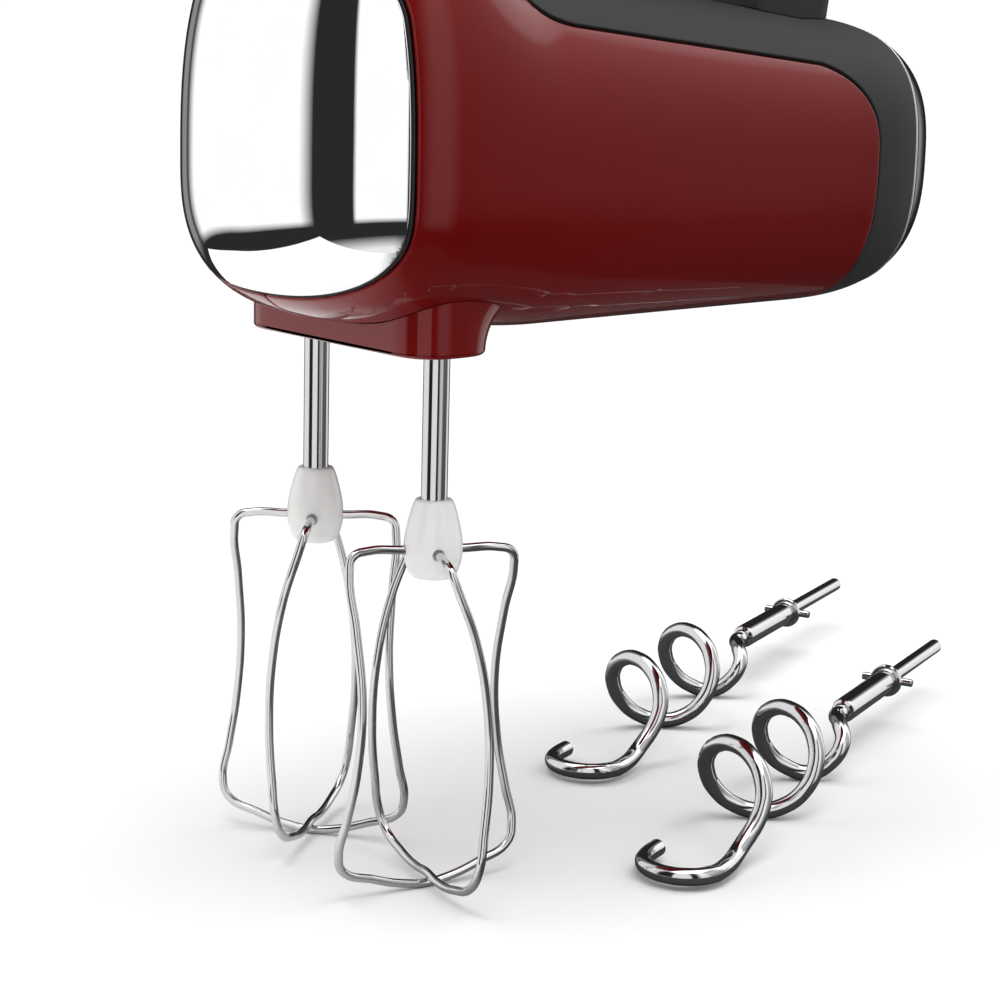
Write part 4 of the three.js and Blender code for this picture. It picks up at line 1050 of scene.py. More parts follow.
@dataclass
class BodyShells:
    """The shells round the motor: red panels, chrome nose, dark band and rear cap."""

    form: BodyForm
    roll: float = 0.35
    wall: float = 2.4
    gap: float = 0.3
    cover_back: float = -21.5
    cover_low: float = 126.5
    cover_high: float = 204.0
    cover_corner: float = 19.0
    cover_wall: float = 1.2
    gasket_width: float = 0.6
    gasket_inset: float = 0.25
    gasket_wall: float = 0.8
    rim_roll: float = 0.55
    thin_roll: float = 0.2
    rod_hole: float = 2.6
    vents: int = 7
    vent_pitch: float = 4.0
    vent_half_width: float = 1.1
    vent_margin: float = 4.0
    vent_depths: tuple[float, float] = (45.0, 25.0)
    panel_front: tuple[float, float] = (24.0, 185.0)
    panel_rear: tuple[float, float] = (101.0, 177.5)
    band_x: float = 118.5
    seam_x: float = 134.0
    seam_width: float = 0.8
    seam_wall: float = 1.2
    stand: float = 0.12
    heel_x: float = 152.0
    heel_edge: float = 1.2
    plinth_low: float = 118.0
    plinth_front: float = -13.2
    plinth_back: float = 8.0
    plinth_half_y: float = 32.4
    plinth_corner: float = 10.0
    plinth_levels: int = 16
    plinth_lap: float = 0.6
    plinth_inside: float = 2.5
    bush_radius: float = 6.2
    bush_profile: tuple[Point, ...] = ((5.3, 1.4), (5.7, 0.9), (7.1, 0.9), (7.5, 1.3), (7.5, 10), (5.3, 10))
    screw_places: tuple[tuple[str, float], ...] = (("front", 38.0), ("rear", 98.0))
    screw_z: float = 131.0
    screw_seat_y: float = 28.0
    head_radius: float = 3.2
    well_depth: float = 18.0
    hole_reach: float = 30.0
    reach: float = 90.0

    def cover_outline(self, grow: float) -> list[Point]:
        """Returns the nose cover's side-view outline, grown all round.

        Args:
            grow: How far it is grown.

        Returns:
            The outline.
        """
        back, low, high = self.cover_back + grow, self.cover_low - grow, self.cover_high + grow
        radius, front = self.cover_corner + grow, -self.reach
        points = [(front, high), (front, low)]
        for start, centre_z in ((-90, low + radius), (0, high - radius)):
            for step in range(25):
                angle = math.radians(start + 90 * step / 24)
                points.append((back - radius + radius * math.cos(angle), centre_z + radius * math.sin(angle)))
        return points

    def panel_outline(self, grow: float) -> list[Point]:
        """Returns the red panels' side-view outline, grown upwards and backwards.

        Args:
            grow: How far it is grown.

        Returns:
            The outline.
        """
        front_x, front_z = self.panel_front
        rear_x, rear_z = self.panel_rear
        axis, far = self.form.axis_z, self.reach
        knots = [(self.band_x, axis + 2), (self.band_x + 0.5, rear_z - 4), (rear_x, rear_z),
                 (front_x, front_z), (front_x - 8, front_z + 1), (front_x - 12, front_z + 5)]
        moved = [Vector((x + grow, z + grow)) for x, z in knots]
        moved[0].y -= grow
        points = [(-far, axis - far), (self.band_x + grow, axis - far)]
        for first, turn, last in ((0, 1, 2), (3, 4, 5)):
            for step in range(19):
                share = step / 18
                start, bend, end = moved[first], moved[turn], moved[last]
                at = start.lerp(bend, share).lerp(bend.lerp(end, share), share)
                points.append((at.x, at.y))
        points += [(front_x - 22 + grow, front_z + 17 + grow), (front_x - 30 + grow, axis + self.reach),
                   (-far, axis + self.reach)]
        return points

    def side_cut(self, piece: bpy.types.Object, outline: Sequence[Point], how: str = "DIFFERENCE") -> None:
        """Cuts a side-view outline right through a piece.

        Args:
            piece: The piece to cut.
            outline: The outline.
            how: "DIFFERENCE" or "INTERSECT".
        """
        carve(piece, prism(outline, -self.reach, self.reach), how)

    def rod_cut(self, piece: bpy.types.Object, radius: float) -> None:
        """Cuts the hole over the nose that the ejector's rod runs in.

        Args:
            piece: The piece to cut.
            radius: The hole's radius.
        """
        top = (0, 0, self.form.axis_z + self.form.nose_rise)
        carve(piece, rod(top, (0, 0, self.hole_reach), radius))

    def build(self) -> None:
        """Builds and dresses every shell."""
        self.nose_cover()
        self.nose_gasket()
        self.red_halves()
        self.dark_band()
        self.seam_trim()
        self.rear_cap()
        self.plinth()
        self.screws()

    def nose_cover(self) -> None:
        """Builds the mirror-bright nose cover."""
        cover = self.form.solid(0, fineness=60, levels=150)
        self.side_cut(cover, self.cover_outline(-self.roll), "INTERSECT")
        open_cuts(cover)
        dress_shell(cover, self.cover_wall, self.roll, "chrome_nose_cover", CHROME, "nose_cover")

    def nose_gasket(self) -> None:
        """Builds the thin black gasket round the nose cover."""
        gasket = self.form.solid(self.gasket_inset)
        outer = self.gasket_width + self.gap / 2 - self.thin_roll
        self.side_cut(gasket, self.cover_outline(outer), "INTERSECT")
        self.side_cut(gasket, self.cover_outline(self.gap / 2 + self.thin_roll))
        open_cuts(gasket)
        dress_shell(gasket, self.gasket_wall, self.thin_roll, "nose_cover_gasket", RUBBER, "nose_gasket")

    def red_halves(self) -> None:
        """Builds the two red half shells, which meet under the belly and over the nose."""
        shell = self.form.solid(0)
        self.side_cut(shell, self.panel_outline(-self.rim_roll), "INTERSECT")
        self.side_cut(shell, self.cover_outline(self.gasket_width + self.gap + self.rim_roll))
        for side in SIDES.values():
            centre = (0, side * SPINDLE_Y, self.plinth_low)
            carve(shell, rod(centre, (0, 0, self.hole_reach), self.bush_radius + self.rim_roll))
        self.rod_cut(shell, self.rod_hole)
        open_cuts(shell)
        split = self.gap / 2 + self.rim_roll
        for name, side in SIDES.items():
            half = trim(copy_of(shell), place(0, side * split, 0), (0, -side, 0))
            if side > 0:
                for _, x in self.screw_places:
                    centre = (x, self.screw_seat_y + self.well_depth / 2, self.screw_z)
                    well = rod(centre, (0, self.well_depth, 0), self.head_radius + 2 * self.gap)
                    carve(half, well)
                open_cuts(half)
            dress_shell(half, self.wall, self.rim_roll, f"red_half_shell_{name}", RED_LACQUER,
                        f"{name}_housing")
        bpy.data.objects.remove(shell)

    def dark_band(self) -> None:
        """Builds the dark deck and band, with cooling slots in the band's belly."""
        band = self.form.solid(0)
        self.side_cut(band, self.panel_outline(self.gap + self.roll))
        deep, shallow = (self.form.axis_z - depth for depth in self.vent_depths)
        for step in range(self.vents):
            y = (step - (self.vents - 1) / 2) * self.vent_pitch
            carve(band, brick((self.band_x + self.vent_margin, y - self.vent_half_width, deep),
                              (self.seam_x - self.vent_margin, y + self.vent_half_width, shallow)))
        self.rod_cut(band, self.rod_hole + self.gap)
        open_cuts(band)
        trim(band, place(self.seam_x - self.gap - self.roll, 0, 0), (1, 0, 0))
        dress_shell(band, self.wall, self.roll, "dark_deck_and_band", SATIN_BLACK, "upper_housing")

    def seam_trim(self) -> None:
        """Builds the thin silver ring between the band and the rear cap."""
        ring = self.form.solid(-self.stand)
        open_cuts(ring)
        trim(ring, place(self.seam_x + self.seam_width - self.thin_roll, 0, 0), (1, 0, 0))
        trim(ring, place(self.seam_x + self.thin_roll, 0, 0), (-1, 0, 0))
        dress_shell(ring, self.seam_wall, self.thin_roll, "silver_seam_ring", SILVER, "seam_trim")

    def rear_cap(self) -> None:
        """Builds the glossy rear cap, drawn softly in to its flat heel."""
        cap = self.form.solid(0)
        heel = place(self.heel_x, 0, 0).x
        for vertex in cap.data.vertices:
            room = heel - vertex.co.x
            vertex.co.x = heel - (room + math.hypot(room, self.heel_edge * MM)) / 2
        trim(cap, place(self.seam_x + self.seam_width + self.gap + self.roll, 0, 0), (-1, 0, 0))
        dress_shell(cap, self.wall, self.roll, "gloss_rear_cap", GLOSS_BLACK, "rear_cap")

    def plinth(self) -> None:
        """Builds the plinth under the nose, flared backwards into the belly, with two bushed sockets."""
        front, back, half_y = self.plinth_front, self.plinth_back, self.plinth_half_y
        corners = ((front, -half_y), (back, -half_y), (back, half_y), (front, half_y))
        outline = even(rounded([(x, y, self.plinth_corner) for x, y in corners], 16), 180)
        piece = plate(outline, self.plinth_low, lie_in_plan)
        foot: dict[Point, Point] = {}
        with Editing(piece):
            bpy.ops.mesh.select_all(action="SELECT")
            for step in range(1, self.plinth_levels + 1):
                bpy.ops.mesh.extrude_region_move(TRANSFORM_OT_translate={"value": (0, 0, MM)})
                self.flare(bmesh.from_edit_mesh(piece.data), step, foot)
                bmesh.update_edit_mesh(piece.data)
            face_outwards()
            low = place(0, 0, self.plinth_low).z
            choose(piece, "EDGE", lambda edge: all(abs(v.co.z - low) < 1e-6 for v in edge.verts))
            bpy.ops.mesh.bevel(offset=1.0 * MM, segments=4, profile=0.5, clamp_overlap=False)
        mark(piece, "skin")
        carve(piece, self.form.solid(-self.stand, "cut"))
        for name, side in SIDES.items():
            centre = (0, side * SPINDLE_Y, self.plinth_low)
            carve(piece, rod(centre, (0, 0, 40), self.bush_radius + self.gap))
            dress(turned(self.bush_profile, centre), f"bronze_bush_{name}", BRONZE, "housing",
                  [f"{name}_spindle_bush"])
        dress(piece, "flared_socket_plinth", RED_LACQUER, "housing", ["socket_plinth"])

    def flare(self, mesh: bmesh.types.BMesh, step: int, foot: dict[Point, Point]) -> None:
        """Lifts the plinth's newest level towards the belly and spreads it backwards.

        The last two levels turn in over the top, inside the body.

        Args:
            mesh: The plinth's mesh, whose newest level is selected.
            step: That level's number.
            foot: By each vertex's place, where it started in the plinth's foot.
        """
        share = min(1.0, step / (self.plinth_levels - 2))
        inside = self.plinth_inside * max(0, step - self.plinth_levels + 2)
        for vertex in (vertex for vertex in mesh.verts if vertex.select):
            spot = (vertex.co - ORIGIN) / MM
            start = foot.get((round(spot.x, 3), round(spot.y, 3)), (spot.x, spot.y))
            room = self.form.belly(start[1]) - self.plinth_low + self.plinth_lap
            spread = room * (1 - math.sqrt(max(0.0, 1 - share ** 2)))
            behind = min(1.0, max(0.0, start[0] / self.plinth_back)) ** 0.8
            x = start[0] + spread * behind - math.copysign(inside, start[0]) * 0.5
            y = start[1] - math.copysign(inside, start[1]) * 0.5
            vertex.co = place(x, y, self.plinth_low + room * share + inside)
            foot[(round(x, 3), round(y, 3))] = start

    def screws(self) -> None:
        """Builds the two housing screws, sunk in their wells on the right side."""
        for name, x in self.screw_places:
            seat = (x, self.screw_seat_y + 0.3, self.screw_z)
            dress(cross_screw(seat, (0, 1, 0), 46, self.head_radius), f"housing_screw_{name}_fine", SCREW,
                  "housing", [f"housing_screw_{name}"])


def cross_screw(seat: Sequence[float], out: Sequence[float], length: float, head: float) -> bpy.types.Object:
    """Returns a pan-head screw with a cross recess.

    Args:
        seat: Where the underside of its head rests.
        out: The direction that its head faces.
        length: Length of its shank.
        head: Radius of its head.

    Returns:
        The screw.
    """
    shank, thread, pitch = 1.45, 0.22, 1.2
    profile = [(0, 2.0), (head * 0.55, 1.93), (head * 0.85, 1.6), (head, 1.05), (head, 0.0), (shank, 0.0)]
    at = -2.0
    while at > -length + 3:
        profile += [(shank, at), (shank + thread, at - pitch / 2), (shank, at - pitch * 0.85)]
        at -= pitch
    profile += [(shank * 0.8, -length + 1), (0, -length)]
    screw = mark(turned(profile, seat, out, 40), "skin")
    direction = Vector(out)
    across = direction.orthogonal().normalized()
    for wing in (across, direction.cross(across)):
        slot = rod(Vector(seat) + direction * 2.2, wing * head * 1.15, 0.62, 12)
        carve(screw, slot)
    return screw


# ---------------------------------------------------------------------------------------------
# Handle and controls
# ---------------------------------------------------------------------------------------------


BUTTON_CORNER = 2.0


@dataclass(frozen=True)
class Control:
    """One button or slider that stands out of the handle's cover."""

    node: str
    body: str
    name: str
    steps: tuple[Point, ...] = ((1.5, 0.0), (0.9, 0.5), (1.4, 0.25))
    top_edge: float = 0.5
    ridges: int = 0
    ridge_pitch: float = 1.7
    ridge_radius: float = 0.55
    ridge_sink: float = 0.9
    ridge_margin: float = 1.6

    def build(self) -> None:
        """Builds and dresses the control, with a stepped dish in its top."""
        low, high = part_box(self.node)
        size, top = high - low, high.z
        bpy.ops.object.select_all(action="DESELECT")
        bpy.ops.mesh.primitive_cube_add(size=1, location=middle(self.node))
        piece = bpy.context.object
        piece.scale = size
        bpy.ops.object.transform_apply(location=True, rotation=True, scale=True)
        with Editing(piece):
            choose(piece, "EDGE", lambda edge: abs(edge.verts[0].co.z - edge.verts[1].co.z) > 1e-4)
            bpy.ops.mesh.bevel(offset=BUTTON_CORNER * MM, segments=6, profile=0.5)
            choose(piece, "FACE", lambda face: face.normal.z > 0.9)
            sides = [size.x, size.y]
            for width, depth in self.steps:
                bpy.ops.mesh.extrude_region_move(TRANSFORM_OT_translate={"value": (0, 0, -depth * MM)})
                shares = [1 - 2 * width * MM / side for side in sides]
                bpy.ops.transform.resize(value=(*shares, 1))
                sides = [side * share for side, share in zip(sides, shares)]
            choose(piece, "EDGE", lambda edge: all(abs(v.co.z - top) < 1e-6 for v in edge.verts)
                   and any(abs(f.normal.z) < 0.1 for f in edge.link_faces))
            bpy.ops.mesh.bevel(offset=self.top_edge * MM, segments=4, profile=0.5, clamp_overlap=False)
        mark(piece, "skin")
        for step in range(self.ridges):
            x = middle(self.node).x + (step - (self.ridges - 1) / 2) * self.ridge_pitch * MM
            self.ridge(piece, x, top, size.y)
        dress(piece, self.name, BUTTON_GREY, self.body, [self.node], 35)

    def ridge(self, piece: bpy.types.Object, x: float, top: float, width: float) -> None:
        """Joins one grip ridge to the control's top.

        Args:
            piece: The control.
            x: Where the ridge stands, in metres.
            top: The height of the control's top, in metres.
            width: The control's width, in metres.
        """
        bpy.ops.object.select_all(action="DESELECT")
        bpy.ops.mesh.primitive_cylinder_add(
            vertices=24, radius=self.ridge_radius * MM, depth=width - 2 * self.ridge_margin * MM,
            location=(x, 0, top - self.ridge_sink * MM), rotation=(math.pi / 2, 0, 0))
        ridge = bpy.context.object
        bpy.ops.object.transform_apply(location=True, rotation=True, scale=True)
        carve(piece, mark(ridge, "skin"), "UNION")


CONTROLS = (
    Control("eject_button", "ejector", "eject_push_button"),
    Control("turbo_button", "turbo", "turbo_push_button"),
    Control("speed_slider", "speed", "ridged_speed_slider", steps=((1.3, 0.0), (0.0, 1.0)), ridges=5),
)


@dataclass
class Handle:
    """The loop handle, its cover, the screws in it and the cord's inlet."""

    form: BodyForm
    half_width: float = 16.0
    edge: float = 6.8
    inner_edge: float = 2.2
    wall: float = 2.4
    roll: float = 0.35
    gap: float = 0.3
    lap: float = 0.35
    fineness: int = 150
    centre: Point = (58.0, 205.0)
    split_z: float = 240.0
    outline: tuple[Point, ...] = (
        (-13.6, 150), (-21, 231), (-7, 245), (70, 250), (117, 242), (129, 213), (119.2, 150))
    gap_outline: tuple[Point, ...] = ((24, 176), (17, 221), (99, 223), (97, 168))
    outer_reach: float = 16.0
    gap_reach: float = 9.0
    button_places: tuple[tuple[float, ...], ...] = ((0, 7, 7, 0), (25, 6, 6, 0), (46, 6, 4.5, 14))
    button_room: float = 0.25
    button_cut: Point = (230.0, 262.0)
    screw_places: tuple[tuple[str, float], ...] = (("front", 77.0), ("rear", 92.0))
    screw_sink: float = 2.0
    head_radius: float = 3.2
    well_z: float = 219.0
    well_radius: float = 3.7
    exit_x: float = 125.0
    exit_z: float = 207.0
    exit_radius: float = 5.9

    def loop(self) -> bpy.types.Object:
        """Returns the whole handle as one closed loop with rounded edges."""
        rings = []
        for corners, reach in ((self.outline, self.outer_reach), (self.gap_outline, self.gap_reach)):
            points = even(rounded([(x, z, reach) for x, z in corners], 16), self.fineness)
            bpy.ops.object.select_all(action="DESELECT")
            bpy.ops.mesh.primitive_circle_add(vertices=self.fineness, radius=1, fill_type="NOTHING")
            ring = bpy.context.object
            for vertex, (x, z) in zip(ring.data.vertices, points):
                vertex.co = place(x, -self.half_width, z)
            rings.append(ring)
        pick(rings[0])
        rings[1].select_set(True)
        bpy.ops.object.join()
        piece = bpy.context.object
        centre = place(self.centre[0], 0, self.centre[1])
        with Editing(piece):
            bpy.ops.mesh.select_mode(type="EDGE")
            bpy.ops.mesh.select_all(action="SELECT")
            bpy.ops.mesh.bridge_edge_loops()
            bpy.ops.mesh.select_all(action="SELECT")
            bpy.ops.mesh.extrude_region_move(
                TRANSFORM_OT_translate={"value": (0, 2 * self.half_width * MM, 0)})
            face_outwards()
            for offset, outside in ((self.edge, True), (self.inner_edge, False)):
                def on_edge(edge: bmesh.types.BMEdge) -> bool:
                    """Says whether an edge lies between a flat side and the wanted wall."""
                    walls = [face for face in edge.link_faces if abs(face.normal.y) < 0.02]
                    sides = [face for face in edge.link_faces if abs(face.normal.y) > 0.98]
                    if len(walls) != 1 or len(sides) != 1:
                        return False
                    outward = walls[0].normal.dot(walls[0].calc_center_median() - centre) > 0
                    return outward is outside

                choose(piece, "EDGE", on_edge)
                bpy.ops.mesh.bevel(offset=offset * MM, segments=8, profile=0.5, clamp_overlap=False)
        return mark(piece, "skin")

    def build(self) -> None:
        """Builds and dresses the handle's pieces."""
        loop = self.loop()
        self.lower(copy_of(loop))
        self.cover(loop)
        for control in CONTROLS:
            control.build()
        self.inlet()
        for name, x in self.screw_places:
            node = f"handle_screw_{name}"
            low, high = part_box(node)
            seat = ((middle(node) - ORIGIN).x / MM, 0, (low - ORIGIN).z / MM + self.screw_sink)
            length = (high.z - low.z) / MM - self.screw_sink
            screw = cross_screw(seat, (0, 0, -1), length, self.head_radius)
            dress(screw, f"{node}_fine", SCREW, "housing", [node])

    def lower(self, shell: bpy.types.Object) -> None:
        """Builds the lower shell: both pillars and the grip's underside.

        Args:
            shell: The whole loop.
        """
        carve(shell, self.form.solid(-self.lap, "cut"))
        carve(shell, rod((self.exit_x, 0, self.exit_z), (40, 0, 0), self.exit_radius))
        for _, x in self.screw_places:
            carve(shell, rod((x, 0, self.well_z), (0, 0, 12), self.well_radius))
        open_cuts(shell)
        trim(shell, place(0, 0, self.split_z - self.gap - self.roll), (0, 0, 1))
        dress_shell(shell, self.wall, self.roll, "handle_lower_shell", SATIN_BLACK, "handle_lower")

    def cover(self, shell: bpy.types.Object) -> None:
        """Builds the top cover, with an opening round each control.

        Args:
            shell: The whole loop.
        """
        grow = self.button_room + self.roll
        for x, half_x, half_y, travel in self.button_places:
            low, high = x - half_x - grow, x + half_x + grow + travel
            across = half_y + grow
            corners = ((low, -across), (high, -across), (high, across), (low, across))
            outline = rounded([(x, y, BUTTON_CORNER) for x, y in corners], 5)
            carve(shell, prism(outline, *self.button_cut, lie_in_plan))
        open_cuts(shell)
        trim(shell, place(0, 0, self.split_z + self.roll), (0, 0, -1))
        dress_shell(shell, self.wall, self.roll, "handle_top_cover", SATIN_BLACK, "handle_cover")

    def inlet(self) -> None:
        """Builds the flanged rubber inlet in the rear pillar."""
        low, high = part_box("cord_inlet")
        start = ((low.x - ORIGIN.x) / MM, 0, self.exit_z)
        length, flange, neck, bore = (high.x - low.x) / MM, 7.5, 5.45, 3.2
        profile = [(bore, 0), (flange, 0), (flange, 1.6), (neck, 1.7)]
        ribs = 4
        for rib in range(ribs):
            at = length - 9.4 + rib * 2.2
            profile += [(neck, at), (neck - 0.8, at + 0.3), (neck - 0.8, at + 1.1), (neck, at + 1.4)]
        profile += [(neck, length - 0.5), (neck - 0.5, length), (bore + 0.4, length), (bore, length - 0.4)]
        dress(turned(profile, start, (1, 0, 0)), "cord_inlet_sleeve", RUBBER, "housing", ["cord_inlet"])


# ---------------------------------------------------------------------------------------------
# Beaters and dough hooks
# ---------------------------------------------------------------------------------------------


def through(points: Sequence[Point], steps: int) -> list[Point]:
    """Returns a smooth curve through a row of points.

    Args:
        points: The points.
        steps: Steps between two of them.

    Returns:
        The curve's points.
    """
    knots = [Vector(point) for point in points]
    result: list[Point] = []
    for index in range(len(knots) - 1):
        start, end = knots[index], knots[index + 1]
        before = knots[index - 1] if index else start * 2 - end
        after = knots[index + 2] if index + 2 < len(knots) else end * 2 - start
        for step in range(steps):
            t = step / steps
            at = 0.5 * (2 * start + (end - before) * t + (2 * before - 5 * start + 4 * end - after) * t ** 2
                        + (3 * start - before - 3 * end + after) * t ** 3)
            result.append((at.x, at.y))
    result.append((knots[-1].x, knots[-1].y))
    return result


@dataclass
class Beater:
    """One wire beater: a shaft, an egg-shaped hub and two crossing wire loops."""

    name: str
    side: float
    starts: tuple[float, float]
    sweep_share: float
    bar_z: float = 75.7
    hub_top: float = 86.6
    shaft_radius: float = 2.8
    wire_radius: float = 0.95
    crossing: float = 2.4
    profile: tuple[Point, ...] = (
        (6.7, 75.7), (14, 75.7), (17.4, 74.6), (18.4, 71), (18.5, 60), (18.9, 45), (20, 30),
        (21.2, 19), (22.1, 11), (20.6, 7), (13, 3.8), (6, 1.7), (0, 0.95))
    sweep: tuple[Point, ...] = (
        (0, 12), (5, 14), (11, 17), (20, 21.5), (30, 25.5), (40, 27), (50, 24.5), (60, 17), (68, 8), (76, 0))

    def swept(self, height: float) -> float:
        """Returns a wire's sideways sweep at a height, in degrees."""
        for (low, start), (high, end) in zip(self.sweep, self.sweep[1:]):
            if height <= high:
                return mix(start, end, (height - low) / (high - low))
        return self.sweep[-1][1]

    def build(self) -> None:
        """Builds and dresses the beater's pieces."""
        body, y = f"{self.name}_beater", self.side * SPINDLE_Y
        for letter, start in zip("ab", self.starts):
            lift = self.crossing if letter == "b" else 0.0
            half = []
            for radius, height in ((4.0, self.bar_z), *self.profile):
                angle = math.radians(start - self.side * self.sweep_share * self.swept(height))
                raised = height + lift * max(0.0, 1 - radius / 12) * (height < 20)
                half.append(Vector((radius * math.cos(angle), radius * math.sin(angle), raised)))
            points = half + [Vector((-p.x, -p.y, p.z)) for p in reversed(half[:-1])]
            path = [place(p.x, y + p.y, p.z) for p in points]
            wire = tube(path, self.wire_radius, 6, fineness=10)
            dress(wire, f"{self.name}_loop_{letter}", TOOL_STEEL, body, [f"{body}_wire_{letter}"])
        self.hub(body, y)
        low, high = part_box(f"{body}_shaft")
        foot, top = (low - ORIGIN).z / MM, (high - ORIGIN).z / MM
        full, groove = self.shaft_radius, self.shaft_radius - 0.5
        profile = [(0, foot), (full, foot), (full, top - 7.2), (groove, top - 6.8), (groove, top - 5.4),
                   (full, top - 5), (full, top - 1), (full - 0.8, top), (0, top)]
        shaft = turned(profile, (0, y, 0), steps=72)
        dress(shaft, f"{self.name}_tool_shaft", TOOL_STEEL, body, [f"{body}_shaft"])

    def hub(self, body: str, y: float) -> None:
        """Builds the white egg-shaped hub, with a dimple round each wire.

        Args:
            body: The body that it rides on.
            y: The beater's axis.
        """
        bar, top = self.bar_z, self.hub_top
        egg = through([(3.4, bar - 6.1), (4.5, bar - 5.7), (5.5, bar - 4.2), (6.15, bar - 1.6),
                       (6.3, bar + 0.6), (6.05, bar + 3.2), (5.4, bar + 6.3), (4.6, bar + 9.2),
                       (4.2, bar + 10.2)], 6)
        bore = self.shaft_radius + 0.05
        profile = [(bore, bar - 6.1), *egg, (4.05, top - 0.35), (3.8, top - 0.1), (3.5, top), (bore, top)]
        hub = mark(turned(profile, (0, y, 0), steps=72), "skin")
        for start in self.starts:
            angle = math.radians(start)
            along = Vector((math.cos(angle), math.sin(angle), 0))
            for way in (1, -1):
                carve(hub, rod(Vector((0, y, bar)) + along * way * 8.0, along * 5.4, 1.3, 32))
        dress(hub, f"{self.name}_beater_egg_hub", HUB_WHITE, body, [f"{body}_hub"], 28)


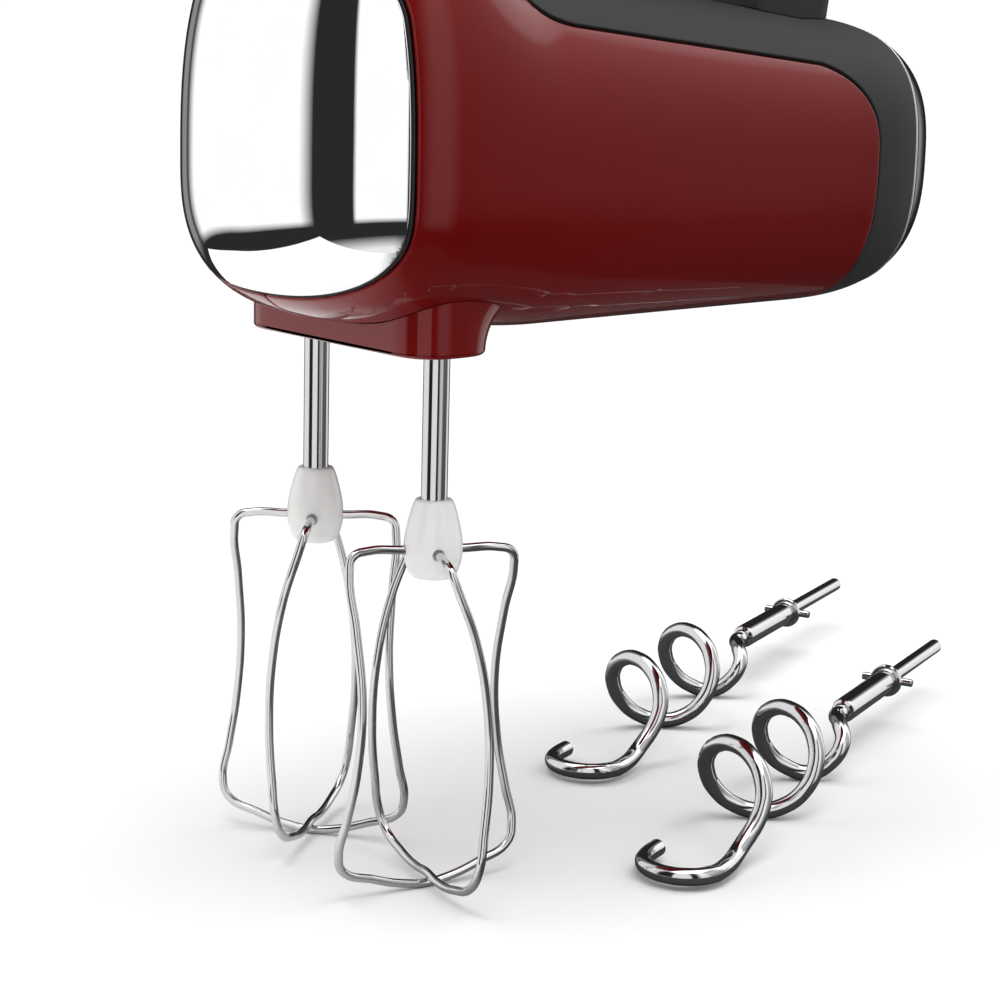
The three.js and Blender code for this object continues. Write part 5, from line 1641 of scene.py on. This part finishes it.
@dataclass
class DoughHook:
    """One dough hook, lying on the bench along its own axis."""

    name: str
    foot: Point
    heading: float = 21.0
    bar_radius: float = 2.0
    length: float = 186.0
    sleeve: Point = (110.0, 143.0)
    sleeve_radius: float = 3.2
    coil: Point = (97.0, 30.0)
    coil_radius: float = 10.5
    turns: int = 2
    bend_radius: float = 9.0
    start_angle: float = math.pi

    def lay(self, x: float, y: float, z: float) -> Vector:
        """Returns a place on the hook in the frame."""
        turn = math.radians(self.heading)
        along = (x * math.cos(turn) - y * math.sin(turn), x * math.sin(turn) + y * math.cos(turn))
        return place(self.foot[0] + along[0], self.foot[1] + along[1], z + self.coil_radius + self.bar_radius)

    def build(self) -> None:
        """Builds and dresses the hook's pieces."""
        body = f"{self.name}_hook"
        first, last = self.coil
        points = [self.lay(x, 0, 0) for x in (self.length, 150, self.sleeve[0], self.sleeve[0] - 4)]
        points.append(self.lay(first + 3, -3, 0))
        steps = self.turns * 12
        for step in range(1, steps + 1):
            angle = self.start_angle + math.tau * self.turns * step / steps
            radius = self.coil_radius * min(1.0, 0.5 + step / 6)
            along = mix(first, last, step / steps)
            points.append(self.lay(along, radius * math.cos(angle), radius * math.sin(angle)))
        low = 1 - self.coil_radius
        points.append(self.lay(22, -self.bend_radius, low + 2))
        centre = self.bend_radius + self.bar_radius
        for step in range(7):
            angle = -math.pi / 2 - math.pi * step / 6
            along = centre + self.bend_radius * math.cos(angle)
            points.append(self.lay(along, self.bend_radius * math.sin(angle), low))
        points.append(self.lay(self.bend_radius + 8, self.bend_radius, low))
        bar = tube(points, self.bar_radius, 7, (True, True))
        dress(bar, f"{self.name}_hook_bent_bar", TOOL_STEEL, body, [f"{body}_bar"])
        axis = self.lay(1, 0, 0) - self.lay(0, 0, 0)
        start = (self.lay(0, 0, 0) - ORIGIN) / MM
        bore, outer = self.bar_radius + 0.05, self.sleeve_radius
        near, far = self.sleeve
        sleeve = turned([(bore, near), (outer - 0.9, near), (outer - 0.25, near + 0.5), (outer, near + 1.4),
                         (outer, far - 0.5), (outer - 0.4, far), (bore, far)], start, axis)
        dress(sleeve, f"{self.name}_hook_crimped_sleeve", TOOL_STEEL, body, [f"{body}_sleeve"])
        self.collar(body, start, axis)

    def collar(self, body: str, start: Vector, axis: Vector) -> None:
        """Builds the collar: a pressed washer and a cross pin that stands out on both sides.

        Args:
            body: The body that it rides on.
            start: Where the hook's axis starts.
            axis: The axis's direction.
        """
        near = self.sleeve[1] + 0.3
        bore, outer = self.bar_radius + 0.05, self.sleeve_radius + 1.2
        washer = turned([(bore, near), (outer - 0.3, near), (outer, near + 0.3), (outer, near + 0.9),
                         (outer - 0.3, near + 1.2), (3.1, near + 1.3), (3.0, near + 3.0), (bore, near + 3.0)],
                        start, axis)
        mark(washer, "skin")
        across = Vector((-axis.y, axis.x, 0)).normalized()
        for side in (1, -1):
            centre = start + axis.normalized() * (near + 1.9) + across * side * 4.9
            pin = rod(centre, across * 4.2, 1.05, 32)
            with Editing(pin):
                choose(pin, "EDGE", lambda edge: any(len(face.verts) > 8 for face in edge.link_faces))
                bpy.ops.mesh.bevel(offset=0.25 * MM, segments=3, profile=0.5)
            carve(washer, mark(pin, "skin"), "UNION")
        dress(washer, f"{self.name}_hook_drive_collar", TOOL_STEEL, body, [f"{body}_collar"])


# ---------------------------------------------------------------------------------------------
# Works inside the shells
# ---------------------------------------------------------------------------------------------

WORKS: dict[str, Finish] = {
    "ejector": NYLON, "speed_switch": NYLON, "suppression_capacitor": NYLON, "gear_frame": NYLON,
    "rear_bearing_bracket": NYLON, "cooling_fan": NYLON,
    "left_brush_holder": NYLON, "right_brush_holder": NYLON,
    "left_worm_wheel": NYLON, "right_worm_wheel": NYLON, "eject_spring": SPRING, "turbo_spring": SPRING,
    "front_bearing": SCREW, "rear_bearing": SCREW, "motor_shaft": SCREW, "left_spindle": SCREW,
    "right_spindle": SCREW, "stator_core": IRON, "armature_core": IRON, "left_field_coil": COPPER,
    "right_field_coil": COPPER, "commutator": COPPER, "left_brush": CARBON, "right_brush": CARBON,
    "control_board": BOARD,
}


def dress_works() -> None:
    """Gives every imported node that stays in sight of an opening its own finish."""
    for node, finish in WORKS.items():
        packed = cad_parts[node]
        packed.data.materials.clear()
        packed.data.materials.append(finish.material())
    LOG.info("works: %d packed nodes dressed", len(WORKS))


def main() -> None:
    """Builds the studio, then every piece of the mixer."""
    logging.basicConfig(level=logging.INFO, format="%(message)s")
    bpy.context.scene.view_settings.view_transform = "Standard"
    studio = Studio()
    studio.camera()
    studio.floor()
    studio.light()
    form = BodyForm()
    BodyShells(form).build()
    Handle(form).build()
    Beater("left", -1.0, (-26.0, 62.0), 1.1).build()
    Beater("right", 1.0, (-41.0, 47.0), 0.88).build()
    DoughHook("right", (72.0, 12.0)).build()
    DoughHook("left", (40.0, -54.0)).build()
    dress_works()


if __name__ == "__main__":
    main()
